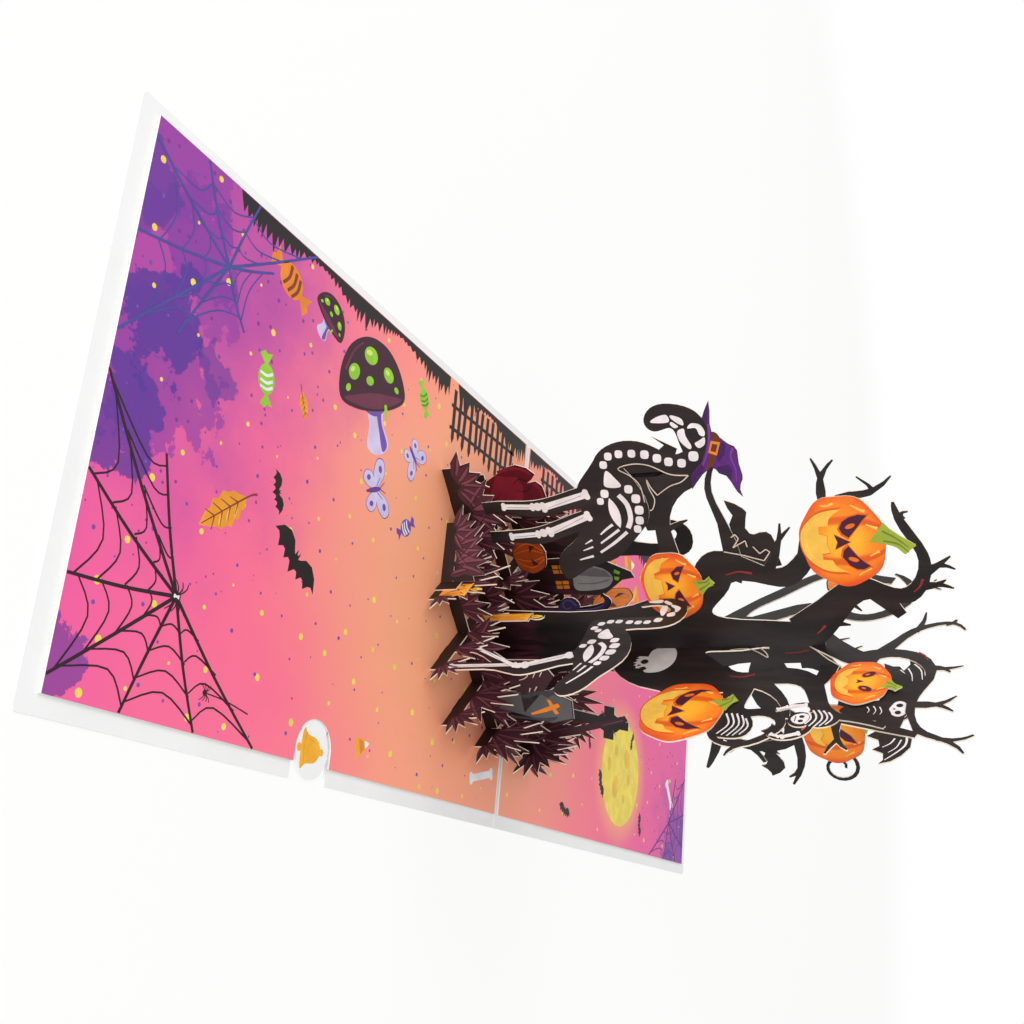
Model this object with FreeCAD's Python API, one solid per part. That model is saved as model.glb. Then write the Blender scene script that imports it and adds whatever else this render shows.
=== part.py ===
import FreeCAD, Part
import math
import os
from FreeCAD import Vector

# Halloween pop up card, lying open and flat. Millimetres, +Z up.
# Origin: middle of the fold, on the underside of the cover. X runs along the fold,
# Y across it (the near panel is -Y), so the card is longest along Y.

# Card
panel_w = 150.0          # along the fold
panel_h = 225.0          # from the fold to the free end
cover_t = 0.6
liner_t = 0.3
corner_r = 1.5
border_left = 3.5        # bare cover left round the printed liner
border_right = 4.7
border_end = 5.9
liner_gap = 3.0          # bare strip over the fold
score_w = 1.0            # pressed score that the cover folds on
score_d = 0.2

# Pop up sheets: two sets of upright sheets at 45 degrees to the fold, slotted together
sheet_t = 0.5
lattice = 28.0           # step between neighbouring sheets, along X or Y
slot_play = 0.1          # each side of a sheet in a crossing slot
cut_step = 0.1           # how far a cut edge's short straight runs leave the drawn curve
fine_step = 0.04         # the same for the glued cut-outs
least_run = 0.04         # a straight run is no shorter than this
least_hole = 4.0         # a hole with a shorter edge than this isn't cut
foot_w = 7.0
foot_reach = 4.0         # how far a foot runs under the liner
slit_play = 0.2
pocket_play = 0.3        # round a foot in the adhesive sheet
foot_play = 0.1          # over a foot's flat toe
glue_t = sheet_t + foot_play   # adhesive sheet between cover and liner

# Pull slip in its pocket under the near liner
slip_t = 0.3
tab_r = 7.85
tab_y = -118.6
tab_inset = 8.6          # tab centre in from the card's edge
neck_w = 12.0
neck_len = 46.0          # tab centre to stop bar
stop_w = 20.0
stop_len = 9.0
slip_travel = 40.0
slip_play = 0.3
window_play = 0.9        # liner window round the tab
notch_w = 2 * (tab_r + window_play)    # thumb notch in the cover's edge
notch_depth = 8.0

floor_z = cover_t + glue_t + liner_t
half_w = panel_w / 2
root2 = math.sqrt(2.0)
os.makedirs("parts", exist_ok=True)


# Flat outlines. Every upright sheet is drawn in its own plane: u across, z up from
# the liner, and y its thickness, away from the near side.

def at(p, y=0.0):
    return Vector(p[0], y, p[1])


def facing(face):
    """The same outline with its front to the near side, so that outlines merge."""
    if face.normalAt(0, 0).y > 0:
        face = face.copy()
        face.reverse()
    return face


def face_of(edges):
    return facing(Part.Face(Part.Wire(edges)))


def polygon(points):
    ring = [at(p) for p in points]
    return facing(Part.Face(Part.makePolygon(ring + ring[:1])))


def box2(u0, z0, u1, z1):
    return polygon([(u0, z0), (u1, z0), (u1, z1), (u0, z1)])


def blob(points):
    """One closed smooth outline through a few points."""
    curve = Part.BSplineCurve()
    curve.interpolate([at(p) for p in points], PeriodicFlag=True)
    return face_of([curve.toShape()])


def limb(points):
    """A tapering branch through points of (u, z, width)."""
    spine = Part.BSplineCurve()
    spine.interpolate([at(p) for p in points])
    stops = [spine.parameter(at(p)) for p in points]
    sides = ([], [])
    for i, p in enumerate(points):
        along = spine.tangent(stops[i])[0]
        off = Vector(-along.z, 0, along.x) * (p[2] / 2)
        sides[0].append(at(p) + off)
        sides[1].append(at(p) - off)
    edges = []
    for side in (sides[0], sides[1][::-1]):
        curve = Part.BSplineCurve()
        curve.interpolate(side)
        edges.append(curve.toShape())
    edges.insert(1, Part.makeLine(sides[0][-1], sides[1][-1]))
    edges.append(Part.makeLine(sides[1][0], sides[0][0]))
    return face_of(edges)


def twig(base, knee, tip, width, fork=None):
    """A small pointed twig, with a side shoot if fork gives its tip."""
    shoots = [limb([base + (width,), knee + (width * 0.75,), tip + (0.5,)])]
    if fork:
        shoots.append(limb([base + (width * 0.8,), knee + (width * 0.7,), fork + (0.5,)]))
    return shoots


def pumpkin_outline(centre, width, height, lobes=7):
    """A squat gourd with shallow lobes, flattened at the top and foot."""
    points = []
    for i in range(lobes * 4):
        a = 2 * math.pi * i / (lobes * 4)
        r = 1.0 + 0.022 * math.cos(lobes * a)
        u = centre[0] + r * width / 2 * math.cos(a)
        z = centre[1] + r * height / 2 * math.sin(a) * (1 - 0.06 * abs(math.sin(a)))
        points.append((u, z))
    return blob(points)


def stalk(foot, tip, width):
    mid = ((foot[0] * 0.6 + tip[0] * 0.4), (foot[1] + tip[1]) / 2)
    return limb([foot + (width * 1.5,), mid + (width,), tip + (width * 1.1,)])


def tuft(u, z, start, stop, leaves, reach, waist=0.5):
    """A fan of pointed leaves round (u, z), from start to stop degrees."""
    ring = [(u, z)]
    step = (stop - start) / leaves
    for i in range(leaves):
        tip_len = reach * (1.0 - 0.2 * abs(math.sin(1.9 * i + leaves)))
        for turn, r in ((0.0, waist * reach), (0.45, tip_len)):
            a = math.radians(start + (i + turn) * step)
            ring.append((u + r * math.cos(a), z + r * math.sin(a)))
    a = math.radians(stop)
    ring.append((u + waist * reach * math.cos(a), z + waist * reach * math.sin(a)))
    return polygon(ring)


def leaning(face, centre, tilt):
    """An outline drawn about (0, 0), turned by tilt degrees and moved to its place."""
    face.rotate(Vector(0, 0, 0), Vector(0, -1, 0), tilt)
    face.translate(at(centre))
    return face


def joined(faces):
    """Overlapping outlines as one outline."""
    if len(faces) == 1:
        return faces[0]
    shape = faces[0].multiFuse(faces[1:]).removeSplitter()
    if len(shape.Faces) != 1:
        raise ValueError("outline falls into %d pieces" % len(shape.Faces))
    return shape.Faces[0]


def cut_out(face, holes):
    shape = face.cut(holes).removeSplitter()
    return max(shape.Faces, key=lambda f: f.Area)


def cut_path(wire, step):
    """A closed outline as the cutter follows it, in short straight runs."""
    ring = []
    for start, edge in zip(wire.OrderedVertexes, wire.OrderedEdges):
        run = [start.Point]
        if edge.Curve.TypeId != "Part::GeomLine":
            run = edge.discretize(Deflection=step)
            if run[0].distanceToPoint(start.Point) > run[-1].distanceToPoint(start.Point):
                run = run[::-1]
        ring += [p for p in run if not ring or p.distanceToPoint(ring[-1]) > least_run]
    while ring[-1].distanceToPoint(ring[0]) < least_run:
        ring.pop()
    return Part.makePolygon(ring + ring[:1])


def plate(face, y0, thick, step=cut_step):
    rings = [cut_path(wire, step) for wire in face.Wires if wire.Length > least_hole]
    flat = Part.makeFace(rings, "Part::FaceMakerBullseye")
    flat.translate(Vector(0, y0, 0))
    return flat.extrude(Vector(0, thick, 0))


# The lattice. A "P" sheet lies on x + y = offset and a "Q" sheet on y - x = offset.

def placed(shape, kind, offset):
    turn = -45 if kind == "P" else 45
    side = 1 if kind == "P" else -1
    shape = shape.copy()
    shape.rotate(Vector(0, 0, 0), Vector(0, 0, 1), turn)
    shape.translate(Vector(side * offset / 2, offset / 2, floor_z))
    return shape


def crossing(kind, other_offset):
    """Where along a sheet a sheet of the other set crosses it."""
    return (-other_offset if kind == "P" else other_offset) / root2


def spans(face, u, half):
    """The stretches of a sheet that stand in the other sheet's way at u."""
    near = 2 * cut_step
    way = box2(u - half - near, -5, u + half + near, panel_h)
    boxes = [f.BoundBox for f in way.common(face).Faces]
    return [(b.ZMin - near, b.ZMax + near) for b in boxes]


def slot_sheets(sheets):
    """Half of each crossing comes out of each sheet, the later rank slotted from below."""
    cuts = {name: [] for name in sheets}
    names = list(sheets)
    half = sheet_t / 2 + slot_play
    for i, low in enumerate(names):
        for high in names[i + 1:]:
            a, b = sheets[low], sheets[high]
            if a["kind"] == b["kind"]:
                continue
            u_low = crossing(a["kind"], b["offset"])
            u_high = crossing(b["kind"], a["offset"])
            for z0, z1 in spans(a["face"], u_low, half):
                for z2, z3 in spans(b["face"], u_high, half):
                    foot, top = max(z0, z2), min(z1, z3)
                    if top <= foot:
                        continue
                    mid = (foot + top) / 2
                    cuts[high].append(box2(u_high - half, foot - 2, u_high + half, mid + slot_play))
                    cuts[low].append(box2(u_low - half, mid, u_low + half, top + 2))
    return cuts


def foot_shape(u, side, depth=liner_t):
    """A tab through the liner, with its end turned flat under it."""
    tab = Part.makeBox(foot_w, sheet_t, depth + sheet_t + 1.0,
                       Vector(u - foot_w / 2, -sheet_t / 2, -depth - sheet_t))
    y0 = -sheet_t / 2 if side > 0 else sheet_t / 2 - foot_reach
    toe = Part.makeBox(foot_w, foot_reach, sheet_t, Vector(u - foot_w / 2, y0, -depth - sheet_t))
    return tab.fuse(toe)


def slit_shape(u):
    width = foot_w + 2 * slit_play
    return Part.makeBox(width, sheet_t + 2 * slit_play, 10,
                        Vector(u - width / 2, -sheet_t / 2 - slit_play, -5))


def pocket_shape(u, side):
    width = foot_w + 2 * pocket_play
    reach = foot_reach + 2 * pocket_play
    y0 = -sheet_t / 2 - pocket_play if side > 0 else sheet_t / 2 + pocket_play - reach
    return Part.makeBox(width, reach, 10, Vector(u - width / 2, y0, -5))


# Grass that stands along the foot of a sheet

def grass_strip(u0, u1, height, tufts):
    """A plain band on the liner with tufts of (u, z, start, stop, leaves, reach) on it."""
    return [box2(u0, 0, u1, height)] + [tuft(*t) for t in tufts]


# The tree: one trunk where two sheets cross, with a wing of branches on each. A glued
# pumpkin's row: set, step, centre, width, height, foot and tip of its stalk, stalk width

pumpkins = {
    "big_pumpkin": ("Q", -1, (-38.0, 129.5), 31.0, 27.5, (-39, 142), (-34, 149), 4.0),
    "middle_pumpkin": ("Q", -1, (-24.5, 72.5), 25.0, 22.0, (-24, 82), (-26, 86), 2.6),
    "rear_pumpkin": ("Q", -1, (33.5, 117.0), 23.0, 22.0, (30, 127), (28, 130), 2.6),
    "lower_pumpkin": ("P", 0, (57.5, 80.5), 31.0, 28.0, (53, 93), (50, 95), 3.0),
    "upper_pumpkin": ("P", 0, (41.5, 132.5), 23.0, 19.0, (43, 141), (45, 144), 2.6),
}


def tree_on_q():
    """Left wing towards the near corner, right wing to the rear."""
    trunk = blob([(-17, 3), (-15.5, 30), (-17, 55), (-24, 72), (-31, 92), (-24, 92), (-14, 84),
                  (-10.5, 98), (-9, 112), (-4, 119), (2, 118), (6, 104), (7, 86), (14, 72),
                  (11, 52), (8, 28), (12, 3), (-2, -0.5)])
    parts = [trunk, box2(-17, 0, 12, 8)]
    # big S limb up to the largest pumpkin, and the arch over it
    parts += [limb([(-25, 84, 11), (-29, 98, 8), (-26, 110, 7), (-32, 117, 6), (-40, 122, 4)]),
              limb([(-5, 112, 13), (-15, 124, 10), (-21, 134, 8), (-18, 146, 5.5),
                    (-29, 152.5, 3.6), (-40, 148.5, 3.0), (-50, 145.5, 0.8)]),
              limb([(-20, 137, 7), (-15, 141, 5), (-11, 144, 3.4)])]
    parts += twig((-8, 122), (-8.5, 125), (-8, 128), 2.2)
    parts += twig((-17, 127), (-15, 130), (-13, 132), 1.8)
    parts += twig((-25, 152), (-28, 156), (-31, 160), 2.6, fork=(-26.5, 161))
    parts += twig((-20.5, 150), (-21.5, 155), (-20, 160), 2.4, fork=(-23, 158))
    parts += [limb([(-34, 118, 6), (-45, 122, 4.5), (-51, 128, 3.4), (-53, 134, 2.6)])]
    parts += twig((-53, 133), (-54, 140), (-58.5, 146), 2.6, fork=(-59, 136))
    parts += twig((-51, 125), (-59, 125.5), (-65, 130), 2.4, fork=(-66, 123.5))
    parts += twig((-44, 148), (-46, 147.5), (-46.5, 149.5), 1.6)
    # side branches behind the large bird
    parts += [limb([(-26, 92, 8), (-40, 94, 4.4), (-50, 92, 2.6), (-58, 90.5, 2.2),
                    (-66, 93, 1.6), (-72, 97, 1.2)]),
              limb([(-22, 73, 9), (-38, 73.5, 6), (-50, 74, 5), (-57, 78, 5), (-60.5, 86, 2.4)])]
    parts += [polygon([(-65.5, 62), (-65.5, 87.5), (-61.6, 87.2), (-59.6, 83.2), (-57.6, 79.4),
                       (-55, 76.8), (-51, 75.3), (-45, 74.5), (-45, 68), (-52, 66), (-60, 62)])]
    parts += twig((-45, 75), (-47, 79), (-48, 82), 2.0)
    parts += [limb([(-26, 103, 4.5), (-37, 109.2, 2.0), (-45, 111, 0.6)])]
    parts += twig((-38, 109), (-41, 111.5), (-43.5, 114), 1.6)
    # right wing, to the rear
    parts += [limb([(4, 104, 13), (14, 96, 9), (22, 97, 7), (28, 104, 6), (34, 108, 5)]),
              limb([(26, 102, 6), (37, 101, 5), (39.5, 92, 4), (37, 82, 3), (33, 77, 2.4)]),
              limb([(34, 104, 4), (46, 104.5, 2.6), (55, 100.5, 0.8)]),
              limb([(46, 104.4, 2), (50, 102.5, 1.4), (52, 99.5, 0.6)]),
              limb([(10, 80, 9), (24, 80, 5), (38, 76.5, 3.6), (49, 71, 1.0)]),
              limb([(38, 86, 2.6), (42, 90, 1.8), (46, 92, 1.2)]),
              limb([(36, 83, 2.0), (40.5, 82, 1.2), (42.5, 79, 0.6)]),
              limb([(4, 110, 8), (9, 120, 6), (22, 122, 4), (28, 118, 4)])]
    return parts


def curl():
    """A spiral twig beside the rear pumpkin."""
    turns = []
    for i in range(11):
        a = math.radians(200 - 48 * i)
        r = 7.2 - 0.52 * i
        turns.append((47.2 + r * math.cos(a), 117.2 + r * math.sin(a), 1.4 - 0.05 * i))
    return limb(turns)


def tree_on_p():
    """Right wing towards the near side, left wing to the rear."""
    trunk = blob([(3, 3), (4, 40), (2, 75), (1, 94), (8, 104), (13, 118), (20, 122), (17, 108),
                  (21.5, 92), (22.5, 80), (37, 91), (44, 86), (46, 72), (36, 53), (28, 46),
                  (29, 24), (34, 3), (18, -0.5)])
    parts = [trunk, box2(3, 0, 34, 8)]
    # limb B: outer side of the long hole, on to the hanging skeleton
    parts += [limb([(34, 84, 12), (40, 96, 10), (37, 108, 9), (41, 117.5, 7), (50, 121, 5.6),
                    (58, 126, 4.4), (61.5, 134, 4.4), (65, 144, 3.4), (67.5, 151, 2.6)]),
              limb([(60, 128, 4), (66, 128.5, 2.2), (72, 130.5, 1.4), (75, 133, 0.6)]),
              limb([(70, 129.6, 1.6), (74, 127.8, 1.2), (77, 127, 0.6)])]
    # limb A: from the trunk's head to the upper pumpkin and the arch
    parts += [limb([(10, 110, 14), (18, 119, 9), (26, 128, 8), (30, 136, 7)]),
              limb([(28, 131, 8), (24.5, 141, 4.6), (28, 149, 4.4), (37, 152.5, 3.0),
                    (46, 149.5, 2.8), (56, 148.2, 2.6), (66, 152, 2.6), (69.5, 158, 1.8),
                    (75.5, 163.8, 0.6)]),
              limb([(69, 156.5, 2.0), (69.5, 161, 1.6), (67, 166, 0.8)]),
              limb([(28, 131, 7), (22, 138.5, 4), (12, 145, 3), (8, 151, 2.2), (7, 156, 1.8),
                    (11.5, 161, 0.6)]),
              limb([(8, 155, 1.8), (6.6, 157.4, 1.4), (5, 158, 0.8)]),
              limb([(12, 146, 2.4), (6, 148, 1.4), (0, 148.4, 0.5)]),
              limb([(31, 122, 6), (38, 121, 5), (43, 118.5, 5)])]
    parts += twig((33, 151), (33.5, 156), (32, 161.5), 2.4, fork=(35.5, 158))
    parts += twig((52.5, 148), (52.5, 155), (48, 160.5), 2.8, fork=(55.8, 160))
    parts += twig((23, 126), (22, 128), (20, 130.5), 1.6)
    parts += twig((17, 121), (16, 123.5), (15, 126), 1.6)
    # lower loops towards the lower pumpkin
    parts += [limb([(40, 100, 8), (47, 108, 3.6), (54, 112, 2.6), (60, 113, 2.0)]),
              limb([(42, 94, 9), (52, 96, 7), (58, 98, 7), (57, 106, 4), (62, 112, 3), (70, 108, 2.6),
                    (73.5, 101, 2.4), (72, 95, 2.0), (66, 92, 3)]),
              limb([(73, 104, 2.0), (76, 99.5, 1.4), (79, 98.5, 0.6)]),
              blob([(56.5, 99.5), (60, 102.8), (65.5, 104), (69.6, 102), (70.4, 97.5), (68.6, 92),
                    (62, 91), (57.5, 94)]),
              limb([(38, 74, 14), (46, 80, 14), (52, 90, 8)])]
    # left wing, to the rear
    parts += [limb([(3, 92, 6), (-3, 103, 6.4), (-5.5, 112, 5.4), (-1, 121, 4.4), (2.4, 129, 4.2),
                    (-2, 138, 4.0), (-12, 143, 3.0), (-21, 141, 2.4), (-27, 136, 0.8)]),
              limb([(4, 84, 9), (-8, 90, 5.6), (-15, 98, 4.4), (-23, 105, 4.6), (-29, 114, 4.6),
                    (-26, 126, 4.2), (-22, 136, 4.4)]),
              limb([(3, 60, 7), (-9, 68, 5), (-22, 70, 3.2), (-33, 76, 1.0)])]
    parts += twig((-13, 142.6), (-17, 147), (-22, 150), 2.2, fork=(-15, 152))
    parts += [pumpkin_outline((-22.5, 121), 18, 17)]
    return parts


# Figures

def bird_body(beak_u, squeeze):
    """A standing bird, head to the left, its beak at beak_u and its feet on the liner."""
    def set_at(points):
        return [(beak_u + squeeze * p[0],) + p[1:] for p in points]

    body = blob(set_at([(13.5, 50), (21, 61), (31, 65.6), (43, 65.4), (53, 60.4), (62, 56),
                        (64, 51.5), (59, 48), (49, 50.5), (39, 48), (25, 48)]))
    neck = limb(set_at([(21, 54, 10), (17, 59.5, 8), (16.6, 67, 7), (14.4, 74, 7.6), (8, 76, 5.6),
                        (2, 71.5, 5), (2.4, 65.5, 2.8), (4.4, 62.4, 0.8)]))
    thigh = limb(set_at([(39, 51.5, 8), (43, 41.5, 6.4), (47.5, 33, 6), (45.5, 25, 4.2), (45, 11, 4),
                         (45, 4, 4)]))
    shin = limb(set_at([(47, 31, 4.4), (41, 22, 3.6), (34.5, 14, 3.4), (33, 4, 3.6)]))
    return [body, neck, thigh, shin]


def large_bird():
    """The bird with the hat, and its two straight legs in the grass."""
    hat = polygon([(-87.8, 96.1), (-84.4, 95.9), (-80.4, 95.2), (-77.6, 95.3), (-75.4, 97.6),
                   (-73.2, 99.7), (-72.3, 101.3), (-70.8, 102.1), (-66.3, 101.9), (-62.6, 102.4),
                   (-61, 102.2), (-59.4, 101.3), (-57.6, 100.9), (-55, 101.4), (-57, 99.8),
                   (-60.6, 98.4), (-62.6, 97.3), (-63.6, 95.2), (-65, 94.4), (-65.8, 93),
                   (-63.6, 90), (-61, 87.6), (-58.8, 85.8), (-62.4, 85.9), (-64.4, 86.6),
                   (-67.8, 90.2), (-75, 93.4), (-79.4, 94.1), (-82.2, 93), (-85, 94.4)])
    head = blob([(-84, 92), (-88, 84), (-86.5, 76.5), (-82, 74.6), (-79.4, 77), (-80, 82.6),
                 (-74, 84.6), (-68, 88), (-70, 94), (-78, 95)])
    neck = limb([(-70, 90, 9), (-67.5, 82, 7.5), (-72, 72, 8), (-72, 63, 9), (-64, 58, 10)])
    body = blob([(-74, 60), (-68, 64.5), (-60, 68.8), (-50, 69.6), (-42.5, 63.5), (-36, 56),
                 (-32, 44), (-29, 36.2), (-35, 34.5), (-43, 42), (-52, 47), (-61, 47), (-70, 54)])
    thorn = polygon([(-74.5, 79.5), (-77.8, 76), (-73, 83.5), (-70, 82), (-72, 76)])
    legs = [limb([(-58.5, 52, 9.5), (-57.5, 42, 6.4), (-55.6, 31, 6.2), (-56.8, 22, 4.6),
                  (-57, 12, 4.4)]),
            limb([(-50, 51, 9), (-49, 42, 6.4), (-45.8, 31, 6.4), (-45.8, 22, 4.8),
                  (-46, 12, 4.4)])]
    return [hat, head, neck, body, thorn] + legs


def bat(centre, span, tilt=0.0, droop=1.0):
    """A bat with scalloped wings, from one drawn wing mirrored about the body."""
    s = span / 2
    wing = [(0.06, 0.16), (0.2, 0.3), (0.4, 0.46), (0.62, 0.5), (0.84, 0.34), (1.0, 0.1 * droop),
            (0.88, 0.06), (0.77, -0.05), (0.66, -0.24), (0.6, -0.1), (0.48, -0.05), (0.38, -0.1),
            (0.34, -0.28), (0.26, -0.14), (0.14, -0.12), (0.06, -0.34)]
    head = [(0.1, 0), (0.1, 0.16), (0.13, 0.36), (0.04, 0.26)]
    rings = [[(side * x * s, y * s) for side, row in ((1, half), (-1, half[::-1])) for x, y in row]
             for half in (wing, head)]
    return leaning(joined([polygon(ring) for ring in rings]), centre, tilt)


def winged_skeleton():
    """Hooded figure with spread wings under the arch."""
    right = polygon([(58, 147), (64, 146), (66.6, 148.4), (68.8, 149.8), (72.6, 149.7), (76.5, 147.6),
                     (79.2, 145), (80.4, 141.9), (78.6, 143), (75.6, 142.7), (73.9, 139.6),
                     (72.2, 141.4), (69.4, 140.8), (67.6, 137.4), (65.4, 139.4), (58, 139)])
    left = polygon([(50, 147), (44, 149.4), (40, 151.2), (34, 150.4), (29, 148.2), (27.4, 145.6),
                    (30.4, 146), (33.8, 144.4), (31.4, 143), (31.4, 141), (29.6, 138.2), (34, 139),
                    (42, 138), (50, 139)])
    robe = blob([(48.4, 145), (50.6, 148), (54.6, 149), (59.4, 147), (60.4, 141), (58.6, 133),
                 (55.2, 128), (51.8, 131), (50, 138)])
    return [right, left, robe]


def left_bat():
    """Bat half hidden by the limb, one wing low and the other raised beside it."""
    return polygon([(-53.9, 94.7), (-52.4, 98), (-50.7, 100.2), (-49.3, 101.2), (-46.8, 100.5),
                    (-43.8, 99.9), (-41.8, 101), (-41.4, 102.4), (-42, 104.1), (-42.1, 106.3),
                    (-41, 107.7), (-38.2, 108.5), (-34.3, 108.7), (-30, 109.4), (-29, 103),
                    (-31, 97), (-34, 92.5), (-41, 95.6), (-45.4, 95), (-48.4, 96.6), (-51, 95.4)])


def hanging_skeleton():
    """Small skeleton hung by its feet from the limb, arms down."""
    skull = blob([(57.6, 118), (59, 114.6), (63, 114.4), (65, 118), (63, 121), (59, 121)])
    ribs = blob([(57, 121.5), (56.6, 126), (60.5, 129), (64.6, 126), (64.6, 121.5), (61, 119.8)])
    arms = [limb([(57.6, 121, 1.8), (53.5, 118.6, 1.8), (54.5, 113.6, 1.6), (56.5, 109.5, 1.2)]),
            limb([(64, 121, 1.8), (69, 118.5, 1.8), (70.6, 113, 1.6), (68.6, 109.5, 1.2)])]
    legs = [limb([(60, 127.5, 2.0), (61.5, 134, 1.6), (64.5, 142, 1.4)])]
    return [skull, ribs] + arms + legs


def coffin(centre, width, height, tilt=0.0):
    """Coffin outline, widest a quarter of the way down."""
    w, h = width / 2, height / 2
    shape = polygon([(-0.55 * w, h), (0.55 * w, h), (w, 0.45 * h), (0.5 * w, -h), (-0.5 * w, -h),
                     (-w, 0.45 * h)])
    return leaning(shape, centre, tilt)


def ringed_cross(centre, size, tilt=0.0):
    """Stone cross with a ring, with the four gaps open."""
    bar = 0.26 * size
    ring = face_of([Part.makeCircle(0.62 * size, Vector(0, 0, 0), Vector(0, -1, 0))])
    inner = face_of([Part.makeCircle(0.42 * size, Vector(0, 0, 0), Vector(0, -1, 0))])
    upright = polygon([(-bar, size), (bar, size), (bar * 1.5, -3.8 * size), (-bar * 1.5, -3.8 * size)])
    beam = box2(-size, -bar, size, bar)
    return leaning(joined([ring.cut(inner).Faces[0], upright, beam]), centre, tilt)


def candle(u, z, height):
    """Square candle with a drip edge and its flame."""
    flame = blob([(u, z + height + 5), (u + 1.5, z + height + 1.8), (u, z + height - 0.6),
                  (u - 1.5, z + height + 1.8)])
    wax = polygon([(u - 2, z), (u + 2, z), (u + 2.2, z + height - 1), (u + 2.6, z + height),
                   (u - 2.6, z + height), (u - 2.2, z + height - 1)])
    return [wax, flame]


def crooked_house(u, z):
    """Little leaning house with a steep roof and a chimney."""
    return [polygon([(u - 8, z), (u + 7, z), (u + 8, z + 26), (u + 9.5, z + 25.5), (u + 2, z + 36),
                     (u + 1.2, z + 41), (u - 1.4, z + 40), (u - 10, z + 24), (u - 8.4, z + 25)])]


# Outlines of the upright sheets, each with the grass along its foot

def front_tree():
    faces = tree_on_q() + [curl(), joined([ringed_cross((30.5, 38), 7.2, tilt=-14)])]
    faces += [pumpkin_outline(*pumpkins["rear_pumpkin"][2:5])]
    faces += grass_strip(-72.5, 50.5, 4.5, [
        (-66, 3, 20, 175, 6, 14, 0.6), (-56, 5, 35, 150, 5, 16, 0.6), (-46, 4, 30, 150, 5, 14, 0.6),
        (-34, 3, 20, 160, 5, 11), (-23, 2, 30, 150, 4, 13), (21, 2, 30, 150, 4, 13),
        (30, 2, 30, 150, 5, 17), (40, 2, 20, 150, 5, 15), (48, 2, 0, 120, 4, 10)])
    faces += [box2(-72.5, 0, -44, 9.8)]
    return joined(faces)


def cross_tree():
    faces = tree_on_p()
    faces += grass_strip(-66, 66, 4.5, [
        (-62, 2, 30, 180, 5, 13), (-50, 2, 30, 150, 5, 18), (-38, 2, 40, 140, 4, 13),
        (-27, 2, 30, 150, 5, 16), (-12, 2, 30, 150, 5, 15), (38, 3, 30, 120, 4, 17),
        (48, 3, 25, 140, 6, 21), (60, 2, 0, 130, 7, 12.5)])
    return joined(faces)


def front_bird_sheet():
    faces = bird_body(21.6, 0.88) + grass_strip(-50, 63, 4.5, [
        (-46, 2, 20, 170, 5, 11), (-34, 2, 30, 150, 5, 14), (-14, 2, 30, 150, 4, 12),
        (3, 2, 30, 150, 5, 12), (27, 3, 30, 150, 5, 13), (39, 3, 40, 160, 5, 16),
        (50, 3, 50, 130, 4, 15), (60, 3, -10, 125, 7, 10.5)])
    faces += candle(30.5, 4, 20)
    return joined(faces)


def rear_bush_sheet():
    faces = grass_strip(-63, 50.5, 4.5, [
        (-58, 2, 30, 180, 5, 13), (-44, 2, 30, 150, 5, 16), (-30, 2, 30, 150, 5, 14),
        (-6, 2, 30, 150, 5, 13), (12, 2, 30, 150, 4, 13), (28, 3, 30, 150, 5, 22),
        (42, 3, 30, 140, 6, 23), (49, 3, 0, 120, 6, 12)])
    faces += [pumpkin_outline((-50, 20), 21, 18), box2(-52, 3, -48, 14)]
    return joined(faces)


def front_fin_sheet():
    faces = grass_strip(-29, 51.5, 4.5, [
        (-26, 2, 20, 170, 5, 10), (-12, 2, 30, 150, 5, 11), (8, 2, 30, 150, 4, 10),
        (26, 2, 30, 150, 5, 12), (40, 3, 35, 130, 5, 21), (49, 3, -10, 130, 6, 9)])
    faces += candle(46, 3, 9)
    return joined(faces)


def rear_fin_sheet():
    faces = grass_strip(-51.5, 29, 4.5, [
        (-48, 2, 30, 180, 5, 11), (-32, 2, 30, 150, 5, 16), (-12, 2, 30, 150, 5, 13),
        (4, 2, 30, 150, 5, 17), (16, 3, 30, 140, 6, 24), (25, 8, -20, 130, 8, 18)])
    faces += [box2(20, 2, 27, 12)]
    return joined(faces)


def middle_sheet():
    faces = grass_strip(-61, 58, 4.5, [
        (-46, 2, 30, 150, 5, 13), (-34, 2, 30, 150, 4, 11), (-12, 2, 30, 150, 5, 18),
        (8, 2, 30, 150, 5, 15), (28, 2, 30, 150, 5, 20), (45, 2, 30, 150, 6, 17),
        (55, 2, 0, 140, 5, 11)])
    lid = polygon([(-56.8, 2), (-60.7, 9.3), (-63.2, 14), (-63.8, 17.5), (-62.3, 21.4), (-59.7, 24),
                   (-57.9, 22.4), (-56.5, 20.3), (-57, 23.6), (-55, 25.7), (-51, 26.2), (-47, 25),
                   (-44.6, 20.5), (-45, 12), (-48, 2)])
    hook = limb([(-4.4, 3, 5), (-4.2, 16, 4.4), (-4, 28, 4), (-5.2, 36, 3.6), (-8, 40, 2.6),
                 (-10.8, 38.4, 1.2)])
    scroll = blob([(-8, 28.6), (-10.2, 26.2), (-9.8, 23), (-7.4, 20.6), (-4, 19.6), (-3.4, 26),
                   (-5.4, 28.4)])
    return joined(faces + [lid, pumpkin_outline((-28, 14), 15, 14), hook, scroll])


def rear_house_sheet():
    faces = grass_strip(-50, 64, 4.5, [
        (-46, 2, 30, 170, 5, 12), (-34, 2, 30, 150, 5, 16), (16, 2, 30, 150, 5, 18),
        (30, 2, 30, 150, 5, 14), (46, 2, 30, 150, 6, 19), (60, 2, 0, 140, 6, 13)])
    faces += crooked_house(-8, 3)
    upright = limb([(-24, 2, 9), (-25, 18, 14), (-22, 34, 12), (-19, 46, 6), (-17.6, 56, 5.4),
                    (-19.5, 65, 7), (-25, 66, 5), (-28.5, 59, 3), (-27.5, 51, 0.8)])
    return joined(faces + [upright])


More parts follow.
